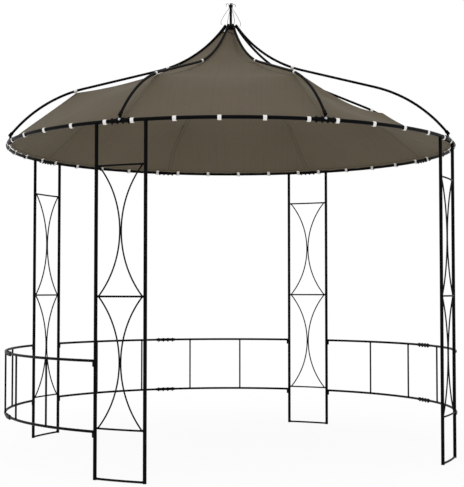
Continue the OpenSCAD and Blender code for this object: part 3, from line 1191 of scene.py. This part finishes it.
@dataclass
class Crown(FramePart):
    """What shows at the hub: rafter end plugs, cap screws, the finial's collar and scrolls."""

    finial_d: float = 17 * MM
    finial_h: float = 158 * MM
    point_d: float = 24 * MM
    point_l: float = 32 * MM
    wire_d: float = 2.8 * MM
    wire_reach: float = 74 * MM
    foot_curl: float = 0.22
    head_curl: float = 0.14
    bow: float = 1.3
    screw_ring: float = 0.34
    screw_sink: float = 0.3 * MM

    def plugs(self) -> None:
        """Close each rafter's upper end with a moulded plug."""
        lines, radius = self.lines, self.lines.rafter_r
        plug = smooth(turned("plug", [
            (radius * 0.8, -4 * MM), (radius * 0.8, 0.1 * MM), (radius + 0.5 * MM, 0.15 * MM),
            (radius + 0.6 * MM, 1.6 * MM), (radius - 0.6 * MM, 2.4 * MM), (1 * MM, 2.6 * MM),
        ], 24))
        up = Vector((-math.cos(lines.crown_slope), 0, math.sin(lines.crown_slope)))
        seat = shift(lines.crown.x, 0, lines.crown.y) @ along(up)
        plugs = spread(plug, [turn @ seat for turn in eighths()])
        dress(join("rafter_plugs", plugs), self.finishes.nylon)

    def screws(self) -> None:
        """Ring the hub's top with cap screws and set the finial in a turned collar."""
        lines, reach = self.lines, self.finial_d / 2
        seat = shift(lines.hub_d * self.screw_ring, 0, lines.crown_h - self.screw_sink)
        ring = spread(self.hardware.button_head(), [turn @ seat for turn in eighths(0.5)])
        collar = smooth(turned("collar", [
            (reach + 5.5 * MM, -0.3 * MM), (reach + 6 * MM, 0.6 * MM), (reach + 5.6 * MM, 2.4 * MM),
            (reach + 2.4 * MM, 3.4 * MM), (reach + 1.8 * MM, 7 * MM), (reach + 0.3 * MM, 8 * MM),
        ], 32))
        set_in_place(collar, shift(0, 0, lines.crown_h))
        dress(join("hub_screws", [*ring, collar]), self.finishes.coat)

    @staticmethod
    def curl(centre: Vector, radius: float, start: float, sweep: float, steps: int) -> list[Vector]:
        """Lay points on an arc, with its angles in degrees."""
        angles = [math.radians(start + sweep * i / steps) for i in range(steps + 1)]
        return [centre + radius * Vector((math.cos(a), math.sin(a))) for a in angles]

    def scroll_points(self) -> list[Vector]:
        """Lay out one wire scroll on the XZ plane: foot curl, rising bow and head curl.

        Returns:
            Points along the wire's centre line.
        """
        lines = self.lines
        wire_r = self.wire_d / 2
        inner = self.finial_d / 2 + lines.seat + wire_r
        outer = self.wire_reach - wire_r
        tip = lines.crown_h + self.finial_h
        neck = tip - self.point_l - lines.seat - self.wire_d
        foot, head = self.foot_curl * self.wire_reach, self.head_curl * self.wire_reach
        foot_c = Vector((outer - foot, lines.crown_h + wire_r + foot))
        head_c = Vector((self.point_d / 2 + lines.seat + wire_r + head, tip - self.point_l / 2))
        points = self.curl(foot_c, foot, -65, 65, 12)
        for i in range(1, 17):
            t = i / 16
            points.append(
                Vector((outer + (inner - outer) * t ** self.bow, foot_c.y + (neck - foot_c.y) * t))
            )
        points += self.curl(head_c, head, 200, -260, 14)
        return [Vector((p.x, 0, p.y)) for p in points]

    def scrolls(self) -> None:
        """Bend four wire scrolls round the finial."""
        clear_selection()
        bpy.ops.curve.primitive_nurbs_path_add(location=(0, 0, 0))
        curve = bpy.context.object.data
        curve.splines.clear()
        points = self.scroll_points()
        spline = curve.splines.new("NURBS")
        spline.points.add(len(points) - 1)
        for place, point in zip(spline.points, points):
            place.co = (*point, 1)
        spline.use_endpoint_u = True
        spline.order_u = 4
        spline.resolution_u = 4
        curve.bevel_depth = self.wire_d / 2
        curve.bevel_resolution = 3
        curve.use_fill_caps = True
        bpy.ops.object.convert(target="MESH")
        wire = bpy.context.object
        ring = spread(smooth(face_outwards(wire), 60), eighths(0, 2))
        dress(join("wire_scrolls", ring), self.finishes.coat, ["finial_scrolls"])

    def build(self) -> None:
        """Build the plugs, screws and scrolls."""
        self.plugs()
        self.screws()
        self.scrolls()


# ---------------------------------------------------------------- cloth


@dataclass
class CanopyShape:
    """The canopy's drawn surface: eight gores hung from the rafters' ties and the eave ties.
    Each fold has its height, then its width or its count round the roof, then its reach."""

    lines: FrameLines
    tie_low_r: float = 1075 * MM
    tie_high_r: float = 452 * MM
    gore_sag: float = 26 * MM
    ridge_sag: float = 15 * MM
    slack_drop: float = 144 * MM
    slack_reach: float = 1.12
    slack_skew: float = 1.22
    slack_rafter: int = 8
    full_rafter: int = 5
    full_lift: float = 10.5 * MM
    lift_over: float = 0.15
    tuck_from: float = 0.92
    sheet_drop: float = 2 * MM
    hem_off: tuple[float, float] = (-14 * MM, 10 * MM)
    hem_turn: float = 0.12
    ease: float = 0.3
    eave_loop_r: float = 16.5 * MM
    sleeve_r: float = 13.8 * MM
    canopy_t: float = 4 * MM
    rafter_loop_r: float = 12.5 * MM
    tie_t: float = 2 * MM
    ties_per_rail: int = 5
    tie_first: float = 76 * MM
    tie_last: float = 98 * MM
    scallops: tuple[float, float, float] = (5 * MM, math.radians(4.8), 0.3)
    scallop_fall: float = 0.3
    fans: tuple[float, float, float] = (2.4 * MM, 22 * MM, 0.22)
    edge_waves: tuple[float, float, float] = (1.6 * MM, 76, 0.3)
    tension: tuple[float, float, float] = (2.5 * MM, 60, 0.12)
    low_pinch: float = 0.16
    high_pinch: tuple[float, float] = (0.6, 0.14)
    pleats: tuple[float, float] = (2.2 * MM, 24)
    waves: tuple[float, float] = (2.5 * MM, 34)

    def __post_init__(self) -> None:
        """Work out the points that the cloth hangs from."""
        lines = self.lines
        loop_drop = self.rafter_loop_r - self.tie_t - lines.rafter_r - lines.seat
        self.strap_seat = loop_drop + self.rafter_loop_r + lines.seat
        drop = self.eave_loop_r - self.tie_t - lines.tube_r - lines.seat
        off = math.sqrt((self.eave_loop_r + lines.seat) ** 2 - drop ** 2 / 2) - drop / math.sqrt(2)
        off = max(self.sleeve_r + lines.seat, off) / math.sqrt(2)
        self.edge = Vector((lines.frame_r - off, lines.eave_h + off + self.canopy_t))
        self.hem = Vector((lines.frame_r, lines.eave_h)) + Vector(self.hem_off)
        self.low = self.under_rafter(self.tie_low_r)
        self.high = self.under_rafter(self.tie_high_r)
        self.peak = Vector((lines.hub_d / 3, lines.crown_h - lines.hub_h - lines.seat))
        self.peak_fall = (self.peak.y - self.high.y) / math.log(self.high.x / self.peak.x)
        first = self.tie_first / lines.frame_r
        last = EIGHTH - self.tie_last / lines.frame_r
        step = (last - first) / (self.ties_per_rail - 1)
        self.tie_angles = [
            k * EIGHTH + first + i * step for k in range(8) for i in range(self.ties_per_rail)
        ]

    def under_rafter(self, radius: float) -> Vector:
        """Return the point where cloth lies against a strap loop below a rafter."""
        lines = self.lines
        return lines.rafter_at(radius) - self.strap_seat * lines.lean(lines.slope_at(radius))

    @staticmethod
    def turn_from(angle: float, rafter: int) -> float:
        """Return how many eighths an angle lies from a rafter."""
        return abs((angle - EIGHTH * (rafter - 1) + 3 * math.pi) % math.tau - math.pi) / EIGHTH

    def off_tie(self, angle: float) -> float:
        """Return the angle to the nearest strap tie."""
        return min(abs((angle - tie + math.pi) % math.tau - math.pi) for tie in self.tie_angles)

    def ridge(self, angle: float, t: float) -> tuple[float, float, float, float]:
        """Follow the cloth up a rafter's plane.

        Args:
            angle: Angle about the axis, in radians.
            t: 0 at the eave, 1 at the lower tie, 2 at the upper tie and 3 at the peak.

        Returns:
            Distance from the axis, height, flatness and share of the gores' sag.
        """
        if t < 1:
            # Beside the ring the cloth turns down against the inner side of the tube.
            turn = max(0.0, 1 - t / self.hem_turn) ** 2
            at = self.edge.lerp(self.low, t) + (self.hem - self.edge) * turn
            flat, sag = t, t
        elif t <= 2:
            u = t - 1
            at = self.low.lerp(self.high, u) - Vector((0, self.ridge_sag * math.sin(math.pi * u)))
            flat, sag = 1.0, 1 - u / 2
        else:
            u = t - 2
            radius = self.high.x * (self.peak.x / self.high.x) ** u
            free = Vector((radius, self.peak.y - self.peak_fall * math.log(radius / self.peak.x)))
            full = max(0.0, min(1.0, 2 - self.turn_from(angle, self.full_rafter)))
            held = self.under_rafter(self.tie_high_r * (self.lines.hub_d / self.tie_high_r) ** u)
            held += Vector((0, self.full_lift * min(1.0, u / self.lift_over)))
            # The last stretch turns in under the hub.
            full *= 1 - max(0.0, (u - self.tuck_from) / (1 - self.tuck_from))
            at = free.lerp(held, full)
            flat, sag = 1 - u, (1 - u) / 2
        return at.x, at.y - self.hang(angle, at.x), flat, sag

    def slackness(self, angle: float) -> float:
        """Weigh how slack the cloth is round its axis.

        Args:
            angle: Angle about the axis, in radians.

        Returns:
            1 at the rafter that has no lower tie, falling to 0 at the one before it and a
            little past the one after it.
        """
        after = math.sin(angle - EIGHTH * (self.slack_rafter - 1)) > 0
        reach = self.slack_reach if after else 1.0
        return max(0.0, 1 - (self.turn_from(angle, self.slack_rafter) / reach) ** 2)

    def hang(self, angle: float, radius: float) -> float:
        """Find how far the slack cloth hangs below its tied height.

        Args:
            angle: Angle about the axis, in radians.
            radius: Distance from the axis.

        Returns:
            The drop.
        """
        reach = max(0.0, (radius - self.tie_high_r) / (self.edge.x - self.tie_high_r))
        bow = math.sin(math.pi * min(1.0, reach) ** self.slack_skew)
        return self.slack_drop * self.slackness(angle) * bow

    def point(self, angle: float, t: float) -> Vector:
        """Find a point of the cloth.

        Args:
            angle: Angle about the axis, in radians.
            t: Step from eave to peak, as in ridge.

        Returns:
            The point in metres.
        """
        across = (angle % EIGHTH) / EIGHTH
        # Away from the rafters the cloth bends over the ties' height gradually.
        ease = min(self.ease * math.sqrt(math.sin(math.pi * across)), t, 3 - t)
        steps = [self.ridge(angle, t + ease * i / 2) for i in range(-2, 3)]
        radius, height, flat, sag = (sum(values) / len(steps) for values in zip(*steps))
        chord = math.cos(EIGHTH / 2) / math.cos(EIGHTH * (across - 0.5))
        radius *= 1 + (chord - 1) * flat
        height -= self.gore_sag * sag * math.sin(math.pi * across) + self.sheet_drop
        height += self.creases(angle, t, across, radius)
        pull = self.scallop(angle, t)
        radius -= pull
        height -= self.scallop_fall * pull
        return Vector((radius * math.cos(angle), radius * math.sin(angle), height))

    def scallop(self, angle: float, t: float) -> float:
        """Find how far the hem draws in between two strap ties.

        Args:
            angle: Angle about the axis, in radians.
            t: Step from eave to peak.

        Returns:
            The pull towards the axis.
        """
        deep, half_pitch, reach = self.scallops
        bow = math.sin(math.pi / 2 * min(1.0, self.off_tie(angle) / half_pitch)) ** 2
        return deep * bow * max(0.0, 1 - t / reach) ** 2

    def creases(self, angle: float, t: float, across: float, radius: float) -> float:
        """Add up the small folds: fans at the eave ties, tension lines from the rafter ties,
        soft pleats at the peak and slow waves where the cloth is slack.

        Args:
            angle: Angle about the axis, in radians.
            t: Step from eave to peak.
            across: Share of the gore's width, from 0 to 1.
            radius: Distance from the axis.

        Returns:
            Their height.
        """
        high, wide, reach = self.fans
        fan = high * math.exp(-self.off_tie(angle) * radius / wide) * math.exp(-t / reach)
        high, count, reach = self.edge_waves
        edge_wave = high * math.sin(angle * count) * math.exp(-t / reach)
        share, reach = self.high_pinch
        pinch = math.exp(-((t - 1) / self.low_pinch) ** 2)
        pinch += share * math.exp(-((t - 2) / reach) ** 2)
        high, count, reach = self.tension
        side = min(across, 1 - across)
        tension = high * pinch * math.exp(-side / reach) * math.cos(side * count)
        high, count = self.pleats
        gathered = max(0.0, min(1.0, t - 2))
        pleats = high * math.cos(angle * count) * gathered * (radius / self.high.x) ** 0.5
        high, count = self.waves
        bow = math.sin(math.pi * min(1.0, t / 2))
        waves = high * self.slackness(angle) * math.sin(angle * count + 3 * t) * bow
        return fan + edge_wave + tension + pleats + waves


@dataclass
class Canopy:
    """The cloth roof: one sheet of eight gores with taped seams, a folded hem and a peak band."""

    shape: CanopyShape
    finishes: Finishes
    columns_per_gore: int = 28
    steps: tuple[int, int, int] = (18, 22, 26)
    skirt_power: float = 1.5
    cloth_t: float = 0.9 * MM
    tape_t: float = 0.4 * MM
    seam_w: float = 12 * MM
    lining_w: float = 24 * MM
    hem_w: float = 20 * MM
    hem_over: float = 1 * MM
    hem_reach: float = 0.035
    hem_level: float = 0.02
    band_w: float = 7 * MM
    band_clear: float = 2 * MM
    tape_clear: float = 0.6 * MM
    offsets: tuple[float, ...] = (-0.5, -0.42, -0.2, 0.0, 0.2, 0.42, 0.5)
    heights: tuple[float, ...] = (0.0, 0.4 * MM, 0.45 * MM, 0.5 * MM, 0.45 * MM, 0.4 * MM, 0.0)
    drift: tuple[float, ...] = (4 * MM, -5 * MM, -19 * MM, 7 * MM, 5 * MM, -3 * MM, 4 * MM, -4 * MM)
    drift_to: float = 1.5
    seam_to: float = 2.93
    band_at: float = 2.9
    near_angle: float = 0.004
    near_step: float = 0.01

    def __post_init__(self) -> None:
        """Work out the sheet's columns and its steps from eave to peak."""
        self.around = 8 * self.columns_per_gore
        self.angles = [math.tau * i / self.around for i in range(self.around)]
        skirt, roof, neck = self.steps
        self.levels = [(i / skirt) ** self.skirt_power for i in range(skirt)]
        self.levels += [1 + i / roof for i in range(roof)]
        self.levels += [2 + i / neck for i in range(neck + 1)]

    def sheet(self) -> Piece:
        """Lay out the sheet with its own cloth map, gore by gore, and give it its thickness.

        Returns:
            The canopy's cloth.
        """
        points = [self.shape.point(angle, t) for t in self.levels for angle in self.angles]
        count = len(points)
        faces = grid(len(self.levels), self.around, False, True)
        faces += [
            (count - self.around + i, count - self.around + (i + 1) % self.around, count)
            for i in range(self.around)
        ]
        tip = Vector((0, 0, points[-self.around].z + 1 * MM))
        cloth, layer = new_piece("canopy_cloth", [*points, tip], faces)
        # Each gore lies flat on the map, in metres, with threads that run along its middle.
        for face in cloth.data.polygons:
            middle = EIGHTH * (face.index % self.around // self.columns_per_gore + 0.5)
            ahead = Vector((math.cos(middle), math.sin(middle), 0))
            beside = Vector((-ahead.y, ahead.x, 0))
            for loop, index in zip(face.loop_indices, face.vertices):
                place = cloth.data.vertices[index].co
                reach = math.hypot(place.dot(ahead), place.z) if index < count else place.z
                layer.data[loop].uv = (place.dot(beside), reach)
        apply_modifier(cloth, "SOLIDIFY", thickness=self.cloth_t, offset=0.0)
        return smooth(cloth, 60)

    def strip(
        self, name: str, spots: list[list[Vector]], lift: list[Vector], closed: bool
    ) -> Piece:
        """Lay a tape on the cloth.

        Args:
            name: Name of the tape.
            spots: Rows of points across the tape, where it meets the cloth.
            lift: Unit vectors away from the cloth, one a row.
            closed: Whether it runs round to its start.

        Returns:
            The tape, with a cloth map of (across, length).
        """
        wide = len(self.heights)
        points = [
            spot + up * (self.tape_clear + height)
            for row, up in zip(spots, lift) for spot, height in zip(row, self.heights)
        ]
        tape, layer = new_piece(name, points, grid(len(spots), wide, closed, False))
        line = [row[wide // 2] for row in spots]
        lengths = [0.0]
        for a, b in zip(line, line[1:] + line[:1]):
            lengths.append(lengths[-1] + (b - a).length)
        for face in tape.data.polygons:
            k, j = divmod(face.index, wide - 1)
            corner = ((k, j), (k, j + 1), (k + 1, j + 1), (k + 1, j))
            for loop, (row, column) in zip(face.loop_indices, corner):
                layer.data[loop].uv = (self.offsets[column] + 0.5, lengths[row])
        apply_modifier(tape, "SOLIDIFY", thickness=self.tape_t, offset=0.0)
        return smooth(tape, 60)

    def rise(self, angle: float, t: float) -> Vector:
        """Return the way up the cloth over two small steps."""
        low, high = max(0.0, t - self.near_step), min(3.0, t + self.near_step)
        return self.shape.point(angle, high) - self.shape.point(angle, low)

    def upright(self, angle: float, t: float) -> Vector:
        """Find the way off the cloth.

        Args:
            angle: Angle about the axis, in radians.
            t: Step from eave to peak.

        Returns:
            The unit vector that points up from the cloth.
        """
        near = self.near_angle
        side = self.shape.point(angle + near, t) - self.shape.point(angle - near, t)
        up = side.normalized().cross(self.rise(angle, t).normalized()).normalized()
        return -up if up.z < 0 else up

    def on_cloth(self, angle: float, t: float) -> Vector:
        """Find a spot on the sheet's own faces, between two of its columns.

        Args:
            angle: Angle about the axis, in radians.
            t: One of the sheet's levels.

        Returns:
            The spot.
        """
        step = EIGHTH / self.columns_per_gore
        column, part = divmod(angle / EIGHTH * self.columns_per_gore + 1e-6, 1.0)
        before, after = (self.shape.point((column + i) * step, t) for i in (0, 1))
        return before.lerp(after, part)

    def seams(self) -> Piece:
        """Tape the eight seams on both faces of the cloth, from hem to peak. Inside, the tape
        drifts off the seam a little where the skirt was eased in.

        Returns:
            The seam tapes.
        """
        tapes = []
        levels = [t for t in self.levels if t < self.seam_to]
        for k in range(8):
            angle = k * EIGHTH
            for face, width in ((1, self.seam_w), (-1, self.lining_w)):
                spots, lift = [], []
                for t in levels:
                    eased = t < self.drift_to and face < 0
                    off = self.drift[k] * (0.5 + 0.5 * math.cos(math.tau * t)) if eased else 0.0
                    reach = self.shape.point(angle, t).xy.length
                    spots.append([
                        self.on_cloth(angle + (off + width * o) / reach, t) for o in self.offsets
                    ])
                    lift.append(self.upright(angle, t) * face)
                tapes.append(self.strip("seam", spots, lift, False))
        return join("canopy_seams", tapes)

    def hem(self) -> Piece:
        """Fold the hem round the cloth's edge, on both faces.

        Returns:
            The hem.
        """
        tapes = []
        for face in (1, -1):
            spots, lift = [], []
            for angle in self.angles:
                edge = self.shape.point(angle, 0)
                inwards = (self.shape.point(angle, self.hem_reach) - edge).normalized()
                start = edge + inwards * (self.hem_w / 2 - self.hem_over)
                spots.append([start + inwards * self.hem_w * o for o in self.offsets])
                lift.append(self.upright(angle, self.hem_level) * face)
            tapes.append(self.strip("hem", spots, lift, True))
        return join("canopy_hem", tapes)

    def peak_band(self) -> Piece:
        """Bind the gathered peak with a narrow band below the hub.

        Returns:
            The band.
        """
        spots, lift = [], []
        for angle in self.angles:
            reach = self.band_w * 2 * self.near_step / self.rise(angle, self.band_at).length
            up = self.upright(angle, self.band_at)
            spots.append([
                self.shape.point(angle, self.band_at + reach * o) + up * self.band_clear
                for o in self.offsets
            ])
            lift.append(up)
        return self.strip("canopy_peak_band", spots, lift, True)

    def build(self) -> None:
        cloth = dress(self.sheet(), self.finishes.cloth, ["canopy"])
        seams = dress(self.seams(), self.finishes.tape)
        hem = dress(self.hem(), self.finishes.tape)
        band = dress(self.peak_band(), self.finishes.nylon)


@dataclass
class StrapTies:
    """Webbing loops that hang on the eave ring and the rafters, sewn to the canopy by tongues."""

    shape: CanopyShape
    finishes: Finishes
    width: float = 21.5 * MM
    thickness: float = 1.6 * MM
    sides: int = 30
    bands: int = 3
    clear: float = 1.1 * MM
    narrowing: float = 0.92
    drawn_from: float = 0.2
    map_r: float = 14 * MM
    eave_drop: float = 19.5 * MM
    overlap: float = 1 * MM
    sewn: tuple[float, float] = (-3 * MM, 8 * MM)
    sewn_level: float = 0.02
    sewn_clear: float = 0.6 * MM

    def loop(self, name: str, tube_r: float, drop: float) -> Piece:
        """Bend a band round a tube on Y: close over the tube and drawn down to a blunt point.

        Args:
            name: Name of the pattern.
            tube_r: Radius of the tube that it hangs on.
            drop: Depth of its lowest point below the tube's centre.

        Returns:
            The loop, with a cloth map of (across, length).
        """
        inner = tube_r + self.clear
        band = circle(name, self.sides, inner, (0, 0, 0), upright=True)
        pick(band, lambda v: v.z < -self.drawn_from * inner)
        stretch = (drop - self.thickness) / inner
        bpy.ops.transform.resize(value=(self.narrowing, 1, stretch), center_override=(0, 0, 0))
        bpy.ops.mesh.select_all(action="SELECT")
        bpy.ops.transform.translate(value=(0, -self.width / 2, 0))
        step = (0, self.width / self.bands, 0)
        for _ in range(self.bands):
            bpy.ops.mesh.extrude_edges_move(TRANSFORM_OT_translate={"value": step})
        bpy.ops.object.mode_set(mode="OBJECT")
        # The map runs along the width and with the angle about the tube, in metres.
        layer = band.data.uv_layers.new(name="cloth")
        for face in band.data.polygons:
            base = math.atan2(face.center.z, face.center.x)
            for loop, index in zip(face.loop_indices, face.vertices):
                place = band.data.vertices[index].co
                angle = math.atan2(place.z, place.x)
                angle += math.tau * round((base - angle) / math.tau)
                layer.data[loop].uv = (place.y, angle * self.map_r)
        apply_modifier(band, "SOLIDIFY", thickness=self.thickness, offset=1.0)
        return smooth(band, 50)

    def tongue(self, start: Vector, end: Vector) -> Piece:
        """Lay a sewn tongue of webbing from a loop onto the cloth.

        Args:
            start: Middle of its end at the loop, on the XZ plane.
            end: Middle of its end on the cloth.

        Returns:
            The tongue.
        """
        rise = end - start
        size = (rise.length, self.width * self.narrowing, 1)
        clear_selection()
        bpy.ops.mesh.primitive_plane_add(size=1, calc_uvs=False, location=(0, 0, 0))
        flap = set_in_place(bpy.context.object)
        edit(flap)
        bpy.ops.transform.resize(value=size, center_override=(0, 0, 0))
        bpy.ops.mesh.subdivide(number_cuts=3)
        bpy.ops.object.mode_set(mode="OBJECT")
        layer = flap.data.uv_layers.new(name="cloth")
        for loop in flap.data.loops:
            place = flap.data.vertices[loop.vertex_index].co
            layer.data[loop.index].uv = (place.y, place.x)
        apply_modifier(flap, "SOLIDIFY", thickness=self.thickness, offset=0.0)
        apply_modifier(flap, "BEVEL", width=0.4 * MM, segments=1, limit_method="ANGLE")
        lean = Matrix.Rotation(-math.atan2(rise.z, rise.x), 4, "Y")
        return set_in_place(flap, Matrix.Translation((start + end) / 2) @ lean)

    def eave_tie(self) -> Piece:
        """Model a loop on the ring with its tongue.

        Returns:
            The tie, with the ring's centre line at its origin.
        """
        lines = self.shape.lines
        low, high = (self.shape.point(0, t) for t in (0.0, self.sewn_level))
        up = (high - low).normalized()
        outwards = Vector((up.z, 0, -up.x)) * (self.sewn_clear + self.thickness)
        sewn = low - Vector((lines.frame_r, 0, lines.eave_h)) + outwards
        loop = self.loop("eave_loop", lines.tube_r, self.eave_drop)
        return join("eave_tie", [loop, self.tongue(*(sewn + up * reach for reach in self.sewn))])

    def build(self) -> None:
        """Hang a loop at every eave eyelet and every rafter tie."""
        shape, lines = self.shape, self.shape.lines
        ring = shift(lines.frame_r, 0, lines.eave_h)
        parts = spread(self.eave_tie(), [about_z(angle) @ ring for angle in shape.tie_angles])
        for k, turn in enumerate(eighths()):
            for radius in (shape.tie_low_r, shape.tie_high_r):
                if k + 1 == shape.slack_rafter and radius == shape.tie_low_r:
                    continue
                at, slope = lines.rafter_at(radius), lines.slope_at(radius)
                hang = shape.hang(k * EIGHTH, radius) * math.cos(slope)
                drop = shape.strap_seat - self.overlap + hang
                loop = self.loop("rafter_tie", lines.rafter_r, drop)
                seat = shift(at.x, 0, at.y) @ Matrix.Rotation(slope, 4, "Y") @ about_z(math.pi / 2)
                parts.append(set_in_place(loop, turn @ seat))
        dress(join("strap_ties", parts), self.finishes.webbing, ["canopy_ties"])


# ---------------------------------------------------------------- studio


@dataclass
class Studio:
    """A pale floor and sky, soft light from above, and the camera."""

    camera_azimuth: float = math.radians(-20.535)
    camera_turn: float = math.radians(-20.598)
    camera_distance: float = 7.471
    camera_height: float = 1.0533
    camera_pitch: float = math.radians(92.4395)
    lens: float = 81.52
    sensor: float = 36.0
    sky_strength: float = 0.80
    floor_colour: str = "#f6f6f6"
    floor_fade: tuple[float, float, float, float] = (0.9, 1.0, 2.0, 7.0)

    def sky(self) -> None:
        """Set an even white sky that the camera and gloss see at full white."""
        world = bpy.data.worlds.new("studio_sky")
        bpy.context.scene.world = world
        nodes = Nodes(world)
        lit = nodes.tree.nodes["Background"]
        nodes.feed(lit, {"Strength": self.sky_strength, "Color": WHITE})
        seen = nodes.add("Background", {"Color": WHITE})
        mix = nodes.add("MixShader", {0: nodes.seen(), 1: lit.outputs[0], 2: seen.outputs[0]})
        nodes.feed(nodes.tree.nodes["World Output"], {0: mix.outputs[0]})

    def floor(self) -> None:
        """Lay a pale matt floor that fades to white away from the gazebo."""
        clear_selection()
        bpy.ops.mesh.primitive_plane_add(size=160, location=(0, 0, -0.5 * MM))
        ground = set_in_place(bpy.context.object)
        ground.name = "studio_floor"
        nodes = Nodes(bpy.data.materials.new("pale_floor_paint"))
        paint = nodes.finish(
            Base_Color=linear(self.floor_colour), Roughness=0.9, Specular_IOR_Level=0.0
        )
        place = nodes.add("TexCoord").outputs["Object"]
        reach = nodes.add("VectorMath", {0: place}, operation="LENGTH").outputs["Value"]
        share = nodes.calc("MULTIPLY", nodes.seen(), nodes.remap(reach, *self.floor_fade))
        white = nodes.add("Emission", {"Color": WHITE, "Strength": 1.0})
        matt = nodes.tree.nodes["Principled BSDF"].outputs[0]
        mix = nodes.add("MixShader", {0: share, 1: matt, 2: white.outputs[0]})
        nodes.feed(nodes.tree.nodes["Material Output"], {0: mix.outputs[0]})
        ground.data.materials.append(paint)

    def lamps(self) -> None:
        """Hang one broad soft key above the left front and a weak fill from the right."""
        for name, strength, width, tilt, turn in (
            ("key", 0.75, 75, 28, -50), ("fill", 0.2, 80, 60, 70),
        ):
            data = bpy.data.lights.new(name, "SUN")
            data.energy = strength
            data.angle = math.radians(width)
            lamp = bpy.data.objects.new(name, data)
            lamp.rotation_euler = (math.radians(tilt), 0, math.radians(turn))
            bpy.context.scene.collection.objects.link(lamp)

    def camera(self) -> None:
        """Stand the camera in front of the gazebo, to the left of the entrance."""
        data = bpy.data.cameras.new("camera")
        data.lens = self.lens
        data.sensor_width = self.sensor
        camera = bpy.data.objects.new("camera", data)
        camera.location = (
            self.camera_distance * math.sin(self.camera_azimuth),
            -self.camera_distance * math.cos(self.camera_azimuth),
            self.camera_height,
        )
        camera.rotation_euler = (self.camera_pitch, 0, self.camera_turn)
        bpy.context.scene.collection.objects.link(camera)
        bpy.context.scene.camera = camera

    def build(self) -> None:
        """Build the sky, floor, lamps and camera."""
        self.sky()
        self.floor()
        self.lamps()
        self.camera()
        bpy.context.scene.view_settings.view_transform = "Standard"


def main() -> None:
    """Build every sub-assembly in order."""
    logging.basicConfig(level=logging.INFO, format="%(message)s", stream=sys.stdout)
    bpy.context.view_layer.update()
    Studio().build()
    finishes = Finishes()
    lines = FrameLines()
    hardware = Hardware(finishes)
    SteelFrame(finishes).build()
    for kind in (EaveCouplers, LegDetails, FenceDetails, Crown):
        kind(lines, hardware, finishes).build()
    shape = CanopyShape(lines)
    StrapTies(shape, finishes).build()
    Canopy(shape, finishes).build()


if __name__ == "__main__":
    main()
